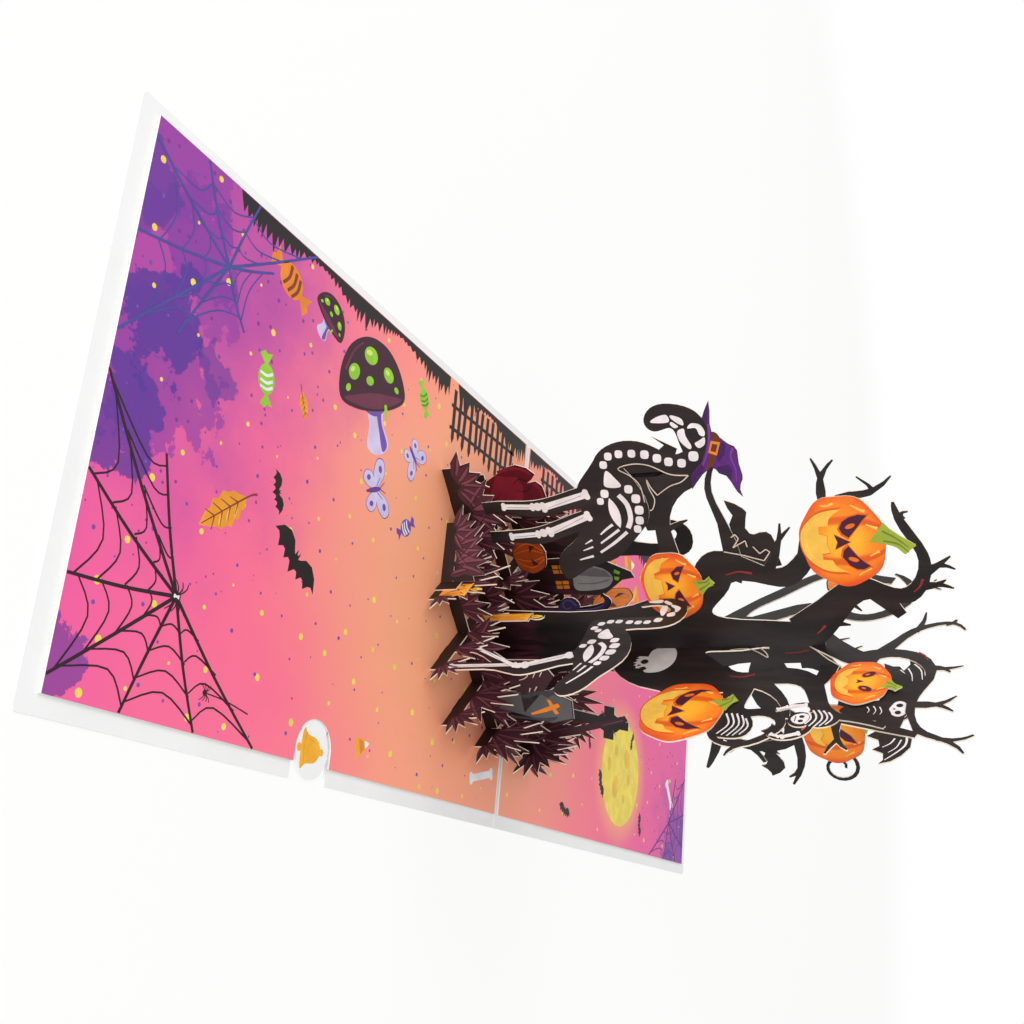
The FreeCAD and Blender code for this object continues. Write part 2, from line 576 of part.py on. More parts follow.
def front_strip_sheet():
    faces = grass_strip(-39.2, 30.5, 4.5, [
        (-30, 3, 40, 150, 5, 14), (-14, 3, 30, 150, 5, 17), (-4, 3, 60, 150, 4, 15),
        (12, 3, 30, 150, 5, 12), (25, 3, 20, 140, 6, 13)])
    board = polygon([(-9, 2), (-8.5, 28), (-2, 31.5), (5, 25.5), (14, 16.5), (5, 17), (-2, 12)])
    return joined(faces + [coffin((9.5, 21), 13.5, 29, tilt=-8), box2(5, 2, 14, 10), board])


def rear_strip_sheet():
    faces = grass_strip(-30.5, 38.5, 4.5, [
        (-26, 3, 40, 160, 6, 13), (-12, 3, 30, 150, 5, 12), (4, 3, 60, 150, 4, 15),
        (22, 3, 30, 150, 5, 17), (35, 3, 20, 140, 5, 13)])
    return joined(faces + [coffin((-9.5, 20), 13.5, 30, tilt=8), box2(-14, 2, -5, 10)])


# Low sheets come first, so that the tree's sheets drop over them from above. Each row:
# name, set, steps from the middle, outline, and feet as (u, side its toe turns to)
rows = [
    ("front_strip_sheet", "Q", -2, front_strip_sheet, [(-30, 1), (10, 1)]),
    ("rear_strip_sheet", "Q", 2, rear_strip_sheet, [(-10, -1), (30, -1)]),
    ("middle_sheet", "Q", 0, middle_sheet, [(-48, 1), (48, -1)]),
    ("rear_house_sheet", "Q", 1, rear_house_sheet, [(-30, -1), (30, -1)]),
    ("front_fin_sheet", "P", -2, front_fin_sheet, [(30, 1), (-10, 1)]),
    ("front_bird_sheet", "P", -1, front_bird_sheet, [(52, 1), (-30, 1)]),
    ("rear_bush_sheet", "P", 1, rear_bush_sheet, [(31, 1), (-50, 1)]),
    ("rear_fin_sheet", "P", 2, rear_fin_sheet, [(10, -1), (-30, -1)]),
    ("front_tree_sheet", "Q", -1, front_tree, [(-58, 1), (-8, 1), (45, -1)]),
    ("cross_tree_sheet", "P", 0, cross_tree, [(54, 1), (30, 1), (-54, 1)]),
]
sheets = {name: {"kind": kind, "step": step, "draw": draw, "feet": feet}
          for name, kind, step, draw, feet in rows}


def build_sheets():
    for sheet in sheets.values():
        sheet["offset"] = sheet["step"] * lattice
        sheet["face"] = cut_out(sheet["draw"](), [box2(-panel_h, -panel_h, panel_h, 0)])
    cuts = slot_sheets(sheets)
    solids = {}
    for name, sheet in sheets.items():
        face = cut_out(sheet["face"], cuts[name])
        solid = plate(face, -sheet_t / 2, sheet_t)
        for u, side in sheet["feet"]:
            solid = solid.fuse(foot_shape(u, side))
        solids[name] = placed(solid.removeSplitter(), sheet["kind"], sheet["offset"])
    return solids


# Cut-outs glued to the tree sheets, each one sheet thick

def glued(faces, kind, step, side=-1):
    y0 = -1.5 * sheet_t if side < 0 else 0.5 * sheet_t
    return placed(plate(joined(faces), y0, sheet_t, fine_step), kind, step * lattice)


def build_cut_outs():
    solids = {}
    for name, (kind, step, centre, width, height, foot, tip, thick) in pumpkins.items():
        faces = [pumpkin_outline(centre, width, height), stalk(foot, tip, thick)]
        solids[name] = glued(faces, kind, step)
    solids["large_bird"] = glued(large_bird(), "Q", -1)
    solids["winged_skeleton"] = glued(winged_skeleton(), "P", 0, side=1)
    solids["hanging_skeleton"] = glued(hanging_skeleton(), "P", 0)
    solids["left_bat"] = glued([left_bat()], "Q", -1, side=1)
    solids["right_bat"] = glued([bat((41, 94), 22, tilt=-8)], "Q", -1, side=1)
    return solids


def tuft_panel():
    """Folded grass clump: a panel along the fold, its end turned onto the front fin."""
    length = 21.0
    tab_len = 5.0
    x_end = 0.6
    off = sheet_t / root2
    y_front = -2 * lattice - (sheet_t / 2 + slot_play) * root2 - 2 * off - x_end
    outline = joined(grass_strip(x_end - length, x_end, 4.5, [
        (x_end - length + 3, 3, 20, 180, 6, 10, 0.6), (x_end - length + 9, 4, 30, 140, 5, 13, 0.6),
        (x_end - 6, 4, 40, 150, 5, 15, 0.6), (x_end - 2, 2, 60, 120, 2, 11)]))
    panel = plate(outline.common(box2(x_end - 2 * length, 0, x_end, 30)).Faces[0], 0, sheet_t)
    panel.translate(Vector(0, y_front, floor_z))
    run = tab_len / root2
    base = [(x_end - off, y_front + sheet_t), (x_end, y_front), (x_end + run, y_front - run),
            (x_end + run + off, y_front - run + off), (x_end + off, y_front + off),
            (x_end, y_front + sheet_t + 0.15)]
    ring = [Vector(x, y, floor_z) for x, y in base]
    tab = Part.Face(Part.makePolygon(ring + ring[:1])).extrude(Vector(0, 0, 8.0))
    return panel.fuse(tab).removeSplitter()


# Card: cover, adhesive sheets, printed liners and the pull slip

def rounded_sheet(x0, y0, x1, y1, z0, thick, radius):
    box = Part.makeBox(x1 - x0, y1 - y0, thick, Vector(x0, y0, z0))
    corners = [e for e in box.Edges if abs(e.Vertexes[0].Z - e.Vertexes[1].Z) > thick / 2]
    return box.makeFillet(radius, corners)


def slip_x():
    return half_w - tab_inset


def build_cover():
    cover = rounded_sheet(-half_w, -panel_h, half_w, panel_h, 0, cover_t, corner_r)
    notch = rounded_sheet(half_w - notch_depth, tab_y - notch_w / 2, half_w + 10, tab_y + notch_w / 2,
                          -1, cover_t + 2, 2.0)
    score = [(-score_w / 2, cover_t), (0, cover_t - score_d), (score_w / 2, cover_t)]
    ring = [Vector(-half_w - 1, y, z) for y, z in score + score[:1]]
    groove = Part.Face(Part.makePolygon(ring)).extrude(Vector(panel_w + 2, 0, 0))
    return cover.cut([notch, groove])


def panel_sheet(side, z0, thick):
    """A sheet that fills one panel inside the bare border; side is -1 near, 1 far."""
    y0, y1 = sorted((side * liner_gap / 2, side * (panel_h - border_end)))
    box = Part.makeBox(panel_w - border_left - border_right, y1 - y0, thick,
                       Vector(-half_w + border_left, y0, z0))
    return box


def tab_window(play):
    """Round opening over the tab, open to the card's edge."""
    r = tab_r + play
    disc = Part.makeCylinder(r, 10, Vector(slip_x(), tab_y, -1))
    way = Part.makeBox(20, 2 * r, 10, Vector(slip_x(), tab_y - r, -1))
    return disc.fuse(way)


def slip_channel():
    bar_x = slip_x() - neck_len
    wide = stop_w + 2 * slip_play
    narrow = neck_w + 2 * slip_play
    run = Part.makeBox(stop_len + slip_travel + 2 * slip_play, wide, 10,
                       Vector(bar_x - stop_len - slip_play, tab_y - wide / 2, -1))
    mouth = Part.makeBox(neck_len, narrow, 10, Vector(bar_x, tab_y - narrow / 2, -1))
    return run.fuse(mouth)


def build_slip():
    z0 = cover_t + (glue_t - slip_t) / 2
    bar_x = slip_x() - neck_len
    tab = Part.makeCylinder(tab_r, slip_t, Vector(slip_x(), tab_y, z0))
    neck = Part.makeBox(neck_len, neck_w, slip_t, Vector(bar_x, tab_y - neck_w / 2, z0))
    bar = rounded_sheet(bar_x - stop_len, tab_y - stop_w / 2, bar_x, tab_y + stop_w / 2, z0, slip_t, 1.5)
    return tab.fuse([neck, bar]).removeSplitter()


def foot_cuts(make):
    shapes = []
    for sheet in sheets.values():
        for u, side in sheet["feet"]:
            shape = make(u, side)
            shapes.append(placed(shape, sheet["kind"], sheet["offset"]))
    return shapes


def build_card():
    slits = foot_cuts(lambda u, side: slit_shape(u))
    pockets = foot_cuts(pocket_shape)
    solids = {"cover": build_cover(), "pull_slip": build_slip()}
    for name, side in (("near", -1), ("far", 1)):
        glue = panel_sheet(side, cover_t, glue_t).cut(pockets)
        liner = panel_sheet(side, cover_t + glue_t, liner_t).cut(slits)
        if side < 0:
            glue = glue.cut([slip_channel(), tab_window(window_play)])
            liner = liner.cut(tab_window(window_play))
        solids[name + "_adhesive"] = glue
        solids[name + "_liner"] = liner
    return solids


def main():
    solids = build_sheets()
    solids.update(build_cut_outs())
    clump = tuft_panel()
    solids["front_clump"] = clump
    solids.update(build_card())
    for name, solid in solids.items():
        if len(solid.Solids) != 1:
            raise ValueError("%s has %d solids" % (name, len(solid.Solids)))
        solid.Solids[0].exportStep("parts/%s.step" % name)
        print(name, "volume %.1f" % solid.Volume)


main()
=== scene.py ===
import math
import random

import bmesh
import bpy
from mathutils import Matrix, Vector


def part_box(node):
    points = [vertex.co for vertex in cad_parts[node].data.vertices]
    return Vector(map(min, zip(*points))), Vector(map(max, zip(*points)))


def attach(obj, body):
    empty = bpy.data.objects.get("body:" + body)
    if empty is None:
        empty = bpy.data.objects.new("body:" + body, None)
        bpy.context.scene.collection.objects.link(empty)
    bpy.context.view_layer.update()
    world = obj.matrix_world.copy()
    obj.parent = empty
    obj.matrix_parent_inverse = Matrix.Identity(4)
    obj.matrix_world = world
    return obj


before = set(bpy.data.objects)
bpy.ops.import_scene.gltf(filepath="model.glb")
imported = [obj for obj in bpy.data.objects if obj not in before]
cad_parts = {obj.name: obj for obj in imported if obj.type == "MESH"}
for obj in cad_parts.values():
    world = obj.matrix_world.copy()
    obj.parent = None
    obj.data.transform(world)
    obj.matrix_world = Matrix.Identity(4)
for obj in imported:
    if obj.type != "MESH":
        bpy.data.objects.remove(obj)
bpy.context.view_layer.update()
print("frame loaded:", len(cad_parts), "nodes")

mm = 0.001
latticeStep = 28.0            # mm between neighbouring upright sheets
cardFace = 0.25               # mm from a sheet's middle to its printed face
gluedFace = 0.75              # the same for a cut-out glued to its front
inkThick = 0.03               # mm, one layer of print
overlapStep = 0.0014          # mm between fields of one print that overlap
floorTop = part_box("near_liner")[1].z

inks = {
    "bone": "#f1eeed", "boneGrey": "#b4afb0", "black": "#1d1615", "eye": "#4b1330", "glint": "#e8731c",
    "grin": "#fec84e", "grinEdge": "#e4641a", "stem": "#a3b53a", "stemDark": "#6f8a2c",
    "hat": "#5c1f7a", "hatDark": "#3f1459", "hatLight": "#7c3a9c", "band": "#6b3013", "buckle": "#f08a24",
    "coffin": "#6a0f22", "coffinLight": "#8a1c31", "stone": "#5a5a5c", "stoneDark": "#3c3b3e",
    "candle": "#f39a2c", "flame": "#ffd84e", "bladeDark": "#22100f", "blade": "#4f2533",
    "bladeLight": "#7a4552", "core": "#e8d9c5", "line": "#d8c9b6", "red": "#8e2b2b", "violet": "#4a2c86",
    "moon": "#f8df5a", "moonSpot": "#efc64a", "leaf": "#f5a12d", "leafVein": "#8a3d1c", "lime": "#96d22f",
    "lavender": "#d9cdf0", "lavenderDark": "#6a3f9c", "mushroom": "#3f1226", "sweet": "#f38b25",
    "webBlack": "#2b1420", "webBlue": "#4b4a9c", "dot": "#f6e05a", "bell": "#fcb428", "white": "#f4f4f4",
    # the dark orange on the next line is painted shade, for the printed pumpkin that sits in shadow on the middle sheet
    "curl": "#43345f", "curlLight": "#6b5a94", "paintedShadeOrange": "#a8430f", "stoneLight": "#a9a6a4", "stoneMid": "#7d7a79", "skullGrey": "#dfdad8",
    "grainDark": "#3a1420", "waxLight": "#fbbf4a", "violetSoft": "#7a4fae", "mushroomLight": "#6d2a45",
    "limeLight": "#d6f27c", "shine": "#ffce62", "leafLight": "#fbc45a", "webViolet": "#5a2f86",
}


# Colours and node helpers

def rgba(code):
    part = [int(code[i:i + 2], 16) / 255 for i in (1, 3, 5)]
    return [c / 12.92 if c <= 0.04045 else ((c + 0.055) / 1.055) ** 2.4 for c in part] + [1.0]


def plug(tree, socket, value):
    if isinstance(value, bpy.types.NodeSocket):
        tree.links.new(value, socket)
    else:
        socket.default_value = value


def calc(tree, operation, a, b=0.0, clamp=False):
    step = tree.nodes.new("ShaderNodeMath")
    step.operation = operation
    step.use_clamp = clamp
    plug(tree, step.inputs[0], a)
    plug(tree, step.inputs[1], b)
    return step.outputs[0]


def between(tree, value, low, high):
    # 0 below low, 1 above high, smooth in between
    step = tree.nodes.new("ShaderNodeMapRange")
    step.interpolation_type = "SMOOTHSTEP"
    for socket, v in zip(step.inputs[:3], (value, low, high)):
        plug(tree, socket, v)
    return step.outputs[0]


def blendInk(tree, share, a, b):
    mix = tree.nodes.new("ShaderNodeMix")
    mix.data_type = "RGBA"
    for socket, value in zip((mix.inputs[0], mix.inputs[6], mix.inputs[7]), (share, a, b)):
        plug(tree, socket, rgba(value) if isinstance(value, str) else value)
    return mix.outputs[2]


def noise(tree, vector, scale, detail=3.0, rough=0.55, dimensions="3D"):
    step = tree.nodes.new("ShaderNodeTexNoise")
    step.noise_dimensions = dimensions
    tree.links.new(vector, step.inputs["Vector"])
    step.inputs["Scale"].default_value = scale
    step.inputs["Detail"].default_value = detail
    step.inputs["Roughness"].default_value = rough
    return step.outputs["Fac"]


def stretched(tree, vector, scale, turn=0.0, shift=(0, 0, 0)):
    step = tree.nodes.new("ShaderNodeMapping")
    tree.links.new(vector, step.inputs["Vector"])
    step.inputs["Scale"].default_value = scale
    step.inputs["Rotation"].default_value = (0, 0, turn)
    step.inputs["Location"].default_value = shift
    return step.outputs[0]


def paperFinish(material, colour, roughness=0.55, grain=0.25):
    # coated card: the colour, a little tooth and uneven gloss
    tree = material.node_tree
    shader = tree.nodes["Principled BSDF"]
    plug(tree, shader.inputs["Base Color"], colour)
    place = tree.nodes.new("ShaderNodeTexCoord").outputs["Object"]
    tooth = noise(tree, place, 2600.0, 2.0)
    tree.links.new(calc(tree, "MULTIPLY_ADD", tooth, 0.16), shader.inputs["Roughness"])
    shader.inputs["Roughness"].links[0].from_node.inputs[2].default_value = roughness - 0.08
    bump = tree.nodes.new("ShaderNodeBump")
    bump.inputs["Strength"].default_value = grain
    bump.inputs["Distance"].default_value = 0.00004
    tree.links.new(tooth, bump.inputs["Height"])
    tree.links.new(bump.outputs[0], shader.inputs["Normal"])
    shader.inputs["Specular IOR Level"].default_value = 0.35
    return material


def newMaterial(name):
    material = bpy.data.materials.new(name)
    material.use_nodes = True
    return material


inkMaterials = {}


def ink(name):
    # printed ink of one colour, a little mottled as print is
    if name not in inkMaterials:
        material = newMaterial("ink_" + name)
        tree = material.node_tree
        place = tree.nodes.new("ShaderNodeTexCoord").outputs["Object"]
        tone = between(tree, noise(tree, place, 180.0, 4.0), 0.3, 0.75)
        base = rgba(inks[name])
        darker = [c * 0.82 for c in base[:3]] + [1.0]
        colour = blendInk(tree, tone, darker, base)
        inkMaterials[name] = paperFinish(material, colour, 0.5)
    return inkMaterials[name]


# Planes: u across, z up from the liner, out towards the near side, all in mm

def sheetPlane(kind, step):
    turn = -math.pi / 4 if kind == "P" else math.pi / 4
    side = 1 if kind == "P" else -1
    along = Vector((math.cos(turn), math.sin(turn), 0))
    up = Vector((0, 0, 1))
    out = along.cross(up)
    base = Vector((side * step * latticeStep / 2, step * latticeStep / 2, floorTop / mm)) * mm
    return Matrix((along * mm, up * mm, out * mm)).transposed().to_4x4(), base


def planeMatrix(plane):
    # plane is a kind and a step, or 'liner' for the printed base with u along x and z along y
    if plane == "liner":
        matrix, base = Matrix.Diagonal((mm, mm, mm, 1.0)), Vector((0, 0, floorTop))
    else:
        matrix, base = sheetPlane(*plane)
    return Matrix.Translation(base) @ matrix


# Flat shapes: closed rings of (u, z) in mm

def area(ring):
    return sum(a[0] * b[1] - b[0] * a[1] for a, b in zip(ring, ring[1:] + ring[:1])) / 2


def curveThrough(points, closed, fine=5):
    count = len(points)
    spans = range(count if closed else count - 1)
    out = []
    for i in spans:
        if closed:
            p = [points[(i + k - 1) % count] for k in range(4)]
        else:
            p = [points[min(max(i + k - 1, 0), count - 1)] for k in range(4)]
        for j in range(fine):
            t = j / fine
            w = (-t ** 3 + 2 * t * t - t, 3 * t ** 3 - 5 * t * t + 2, -3 * t ** 3 + 4 * t * t + t, t ** 3 - t * t)
            out.append(tuple(sum(w[k] * p[k][c] for k in range(4)) / 2 for c in range(len(points[0]))))
    if not closed:
        out.append(tuple(points[-1]))
    return out


def soft(points, fine=5):
    return curveThrough(points, True, fine)


def oval(u, z, ru, rz, turn=0.0, count=20):
    c, s = math.cos(math.radians(turn)), math.sin(math.radians(turn))
    ring = []
    for i in range(count):
        a = 2 * math.pi * i / count
        x, y = ru * math.cos(a), rz * math.sin(a)
        ring.append((u + x * c - y * s, z + x * s + y * c))
    return ring


def stroke(points, width, tipWidth=None, fine=4):
    # a drawn line; width may thin out towards its end
    tipWidth = width if tipWidth is None else tipWidth
    line = curveThrough(points, False, fine)
    left, right = [], []
    for i, p in enumerate(line):
        a, b = line[max(i - 1, 0)], line[min(i + 1, len(line) - 1)]
        du, dz = b[0] - a[0], b[1] - a[1]
        length = math.hypot(du, dz) or 1.0
        w = (width + (tipWidth - width) * i / (len(line) - 1)) / 2
        left.append((p[0] - dz / length * w, p[1] + du / length * w))
        right.append((p[0] + dz / length * w, p[1] - du / length * w))
    return left + right[::-1]


def bone(a, b, width, knob=0.75):
    # a long bone with two knobs at each end
    du, dz = b[0] - a[0], b[1] - a[1]
    length = math.hypot(du, dz)
    c, s = du / length, dz / length
    half = []
    for lobe, start, stop in ((1, 165, -25), (-1, 25, -165)):
        for i in range(7):
            t = math.radians(start + (stop - start) * i / 6)
            half.append((length / 2 + knob * width * math.cos(t),
                         lobe * 0.55 * width + knob * width * math.sin(t)))
    ring = half + [(-x, -y) for x, y in half]
    mid = ((a[0] + b[0]) / 2, (a[1] + b[1]) / 2)
    return [(mid[0] + x * c - y * s, mid[1] + x * s + y * c) for x, y in ring]


def almond(a, b, width, count=8):
    # a leaf form between two points
    du, dz = b[0] - a[0], b[1] - a[1]
    ring = []
    for side in (1, -1):
        for i in range(count):
            t = i / count if side > 0 else 1 - i / count
            w = side * width / 2 * math.sin(math.pi * t) ** 0.8
            length = math.hypot(du, dz)
            ring.append((a[0] + du * t - dz / length * w, a[1] + dz * t + du / length * w))
    return ring


def moved(ring, centre, scale=1.0, turn=0.0):
    c, s = math.cos(math.radians(turn)) * scale, math.sin(math.radians(turn)) * scale
    return [(centre[0] + x * c - y * s, centre[1] + x * s + y * c) for x, y in ring]


def printed(name, inkName, plane, rings, lift=cardFace, layer=1, body="card"):
    # print on a face: each ring is a flat field of ink on the card
    matrix = plane if isinstance(plane, Matrix) else planeMatrix(plane)
    mesh = bpy.data.meshes.new(name)
    bm = bmesh.new()
    for number, ring in enumerate(rings):
        low, high = lift - 0.02, lift + inkThick * layer + overlapStep * (number % 12)
        clean = [p for i, p in enumerate(ring) if math.dist(p, ring[i - 1]) > 0.01]
        if area(clean) < 0:
            clean.reverse()
        bottom = [bm.verts.new(matrix @ Vector((u, z, low))) for u, z in clean]
        top = [bm.verts.new(matrix @ Vector((u, z, high))) for u, z in clean]
        bm.faces.new(top)
        bm.faces.new(bottom[::-1])
        for i in range(len(clean)):
            bm.faces.new((bottom[i - 1], bottom[i], top[i], top[i - 1]))
    bm.normal_update()        # long thin outlines are filled wrongly without it
    bmesh.ops.triangulate(bm, faces=[f for f in bm.faces if len(f.verts) > 4], ngon_method="EAR_CLIP")
    bm.to_mesh(mesh)
    bm.free()
    piece = bpy.data.objects.new(name, mesh)
    bpy.context.scene.collection.objects.link(piece)
    mesh.materials.append(ink(inkName))
    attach(piece, body)
    return piece


# Card stock: black print in front, cream core at the cut edges

stock = {"dark": "#171110", "light": "#2b2322", "grassTop": 15.0, "grassFade": 9.0, "coreFrom": 0.75}


def cutEdge(tree, colour, *outs):
    # the cream core shows wherever a face looks along the sheet
    normal = tree.nodes.new("ShaderNodeTexCoord").outputs["Normal"]
    onFace = 0.0
    for out in outs:
        dot = tree.nodes.new("ShaderNodeVectorMath")
        dot.operation = "DOT_PRODUCT"
        tree.links.new(normal, dot.inputs[0])
        dot.inputs[1].default_value = out
        facing = calc(tree, "GREATER_THAN", calc(tree, "ABSOLUTE", dot.outputs["Value"]), stock["coreFrom"])
        onFace = calc(tree, "MAXIMUM", onFace, facing)
    return blendInk(tree, onFace, inks["core"], colour)


def sheetPlace(tree, kind):
    # object coordinates turned into the sheet's own plane, in mm
    place = tree.nodes.new("ShaderNodeTexCoord").outputs["Object"]
    turn = {"P": math.pi / 4, "Q": -math.pi / 4, "fold": 0.0}[kind]
    return stretched(tree, place, (1 / mm, 1 / mm, 1 / mm), turn, (0, 0, -floorTop / mm))


def outOf(kind):
    return tuple(sheetPlane(kind, 0)[0].to_3x3().col[2].normalized())


def blackCard(name, kind, grass=True, grey=0.0):
    material = newMaterial(name)
    tree = material.node_tree
    place = sheetPlace(tree, kind)
    grain = between(tree, noise(tree, stretched(tree, place, (0.16, 0.16, 0.035)), 1.0, 5.0), 0.35, 0.75)
    base = blendInk(tree, grain, stock["dark"], stock["light"])
    if grey:
        base = blendInk(tree, grey, base, "#4a4646")
    if grass:
        axes = tree.nodes.new("ShaderNodeSeparateXYZ")
        tree.links.new(place, axes.inputs[0])
        cells = tree.nodes.new("ShaderNodeTexVoronoi")
        wobble = noise(tree, stretched(tree, place, (0.05, 0.05, 0.05)), 1.0, 2.0)
        lean = calc(tree, "MULTIPLY", wobble, 2.4)
        bent = tree.nodes.new("ShaderNodeCombineXYZ")
        tree.links.new(calc(tree, "ADD", calc(tree, "MULTIPLY", axes.outputs[0], 0.30), lean), bent.inputs[0])
        tree.links.new(calc(tree, "MULTIPLY", axes.outputs[2], 0.075), bent.inputs[2])
        tree.links.new(bent.outputs[0], cells.inputs["Vector"])
        cells.inputs["Scale"].default_value = 1.0
        tone = tree.nodes.new("ShaderNodeSeparateXYZ")
        tree.links.new(cells.outputs["Color"], tone.inputs[0])
        leaf = blendInk(tree, between(tree, tone.outputs[0], 0.1, 0.9), inks["bladeDark"], inks["blade"])
        leaf = blendInk(tree, between(tree, axes.outputs[2], 0.0, 16.0), inks["bladeDark"], leaf)
        ragged = calc(tree, "MULTIPLY_ADD", noise(tree, stretched(tree, place, (0.2, 0.2, 0.1)), 1.0, 2.0), 14.0)
        ragged.node.inputs[2].default_value = -7.0
        height = calc(tree, "ADD", axes.outputs[2], ragged)
        share = between(tree, height, stock["grassTop"] + stock["grassFade"], stock["grassTop"])
        base = blendInk(tree, share, base, leaf)
    outs = [(0, 1, 0), outOf("P")] if kind == "fold" else [outOf(kind)]
    return paperFinish(material, cutEdge(tree, base, *outs), 0.5)


sheetKinds = {
    "front_tree_sheet": ("Q", 0.0), "cross_tree_sheet": ("P", 0.0), "middle_sheet": ("Q", 0.1),
    "rear_house_sheet": ("Q", 0.3), "front_strip_sheet": ("Q", 0.0), "rear_strip_sheet": ("Q", 0.1),
    "front_bird_sheet": ("P", 0.0), "rear_bush_sheet": ("P", 0.1), "front_fin_sheet": ("P", 0.0),
    "rear_fin_sheet": ("P", 0.0),
}
for node, (kind, grey) in sheetKinds.items():
    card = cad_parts[node]
    card.data.materials.clear()
    card.data.materials.append(blackCard(node + "_card", kind, True, grey))
for node, kind in (("large_bird", "Q"), ("left_bat", "Q"), ("right_bat", "Q"), ("winged_skeleton", "P"),
                   ("hanging_skeleton", "P")):
    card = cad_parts[node]
    card.data.materials.clear()
    card.data.materials.append(blackCard(node + "_card", kind, False))
print("card stock done")


# Pumpkins: glued cut-outs, the skin drawn by the material and the face printed on it

pumpkins = {
    "big_pumpkin": {"plane": ("Q", -1), "centre": (-38.0, 129.5), "size": (31.0, 27.5)},
    "middle_pumpkin": {"plane": ("Q", -1), "centre": (-24.5, 72.5), "size": (25.0, 22.0)},
    "rear_pumpkin": {"plane": ("Q", -1), "centre": (33.5, 117.0), "size": (23.0, 22.0)},
    "lower_pumpkin": {"plane": ("P", 0), "centre": (57.5, 80.5), "size": (31.0, 28.0)},
    "upper_pumpkin": {"plane": ("P", 0), "centre": (41.5, 132.5), "size": (23.0, 19.0)},
}
stalks = {
    "big_pumpkin": [(-39, 142), (-37, 145.5), (-34, 149)], "middle_pumpkin": [(-24, 82), (-24.8, 84), (-26, 86)],
    "rear_pumpkin": [(30, 127), (29.2, 128.5), (28, 130)], "lower_pumpkin": [(53.4, 92.6), (51.8, 94.6), (50, 96)],
    "upper_pumpkin": [(43, 141), (43.8, 142.5), (45, 144)],
}
skin = {"rim": "#e2501a", "body": "#f7871e", "glow": "#fdb62c", "rib": "#d84a12", "shine": "#ffcf6a", "ribs": 7.0}


def pumpkinSkin(name, plane, centre, size):
    material = newMaterial(name)
    tree = material.node_tree
    place = sheetPlace(tree, plane[0])
    axes = tree.nodes.new("ShaderNodeSeparateXYZ")
    tree.links.new(place, axes.inputs[0])
    across = calc(tree, "DIVIDE", calc(tree, "SUBTRACT", axes.outputs[0], centre[0]), size[0] / 2)
    height = calc(tree, "DIVIDE", calc(tree, "SUBTRACT", axes.outputs[2], centre[1]), size[1] / 2)
    # ribs bunch together towards the top and foot, as on a globe
    bulge = calc(tree, "SQRT", calc(tree, "MAXIMUM", calc(tree, "SUBTRACT", 1.08,
                                                           calc(tree, "MULTIPLY", height, height)), 0.05))
    ratio = calc(tree, "MULTIPLY", calc(tree, "DIVIDE", across, bulge), 0.98)
    turn = calc(tree, "ARCSINE", calc(tree, "MINIMUM", calc(tree, "MAXIMUM", ratio, -1.0), 1.0))
    wave = calc(tree, "COSINE", calc(tree, "MULTIPLY", turn, skin["ribs"]))
    ribs = between(tree, wave, -0.62, -0.99)
    far = calc(tree, "SQRT", calc(tree, "ADD", calc(tree, "MULTIPLY", across, across),
                                  calc(tree, "MULTIPLY", height, height)))
    paint = noise(tree, stretched(tree, place, (0.12, 0.12, 0.07)), 1.0, 3.0)
    far = calc(tree, "ADD", far, calc(tree, "MULTIPLY", calc(tree, "SUBTRACT", paint, 0.5), 0.5))
    colour = blendInk(tree, between(tree, far, 0.15, 0.75), skin["glow"], skin["body"])
    colour = blendInk(tree, between(tree, far, 0.72, 1.08), colour, skin["rim"])
    low = between(tree, height, -0.2, -0.95)
    colour = blendInk(tree, calc(tree, "MULTIPLY", low, 0.55), colour, skin["rim"])
    colour = blendInk(tree, calc(tree, "MULTIPLY", ribs, 0.8), colour, skin["rib"])
    onStalk = between(tree, height, 0.90, 0.97)
    colour = blendInk(tree, onStalk, colour, inks["stem"])
    return paperFinish(material, cutEdge(tree, colour, outOf(plane[0])), 0.45)


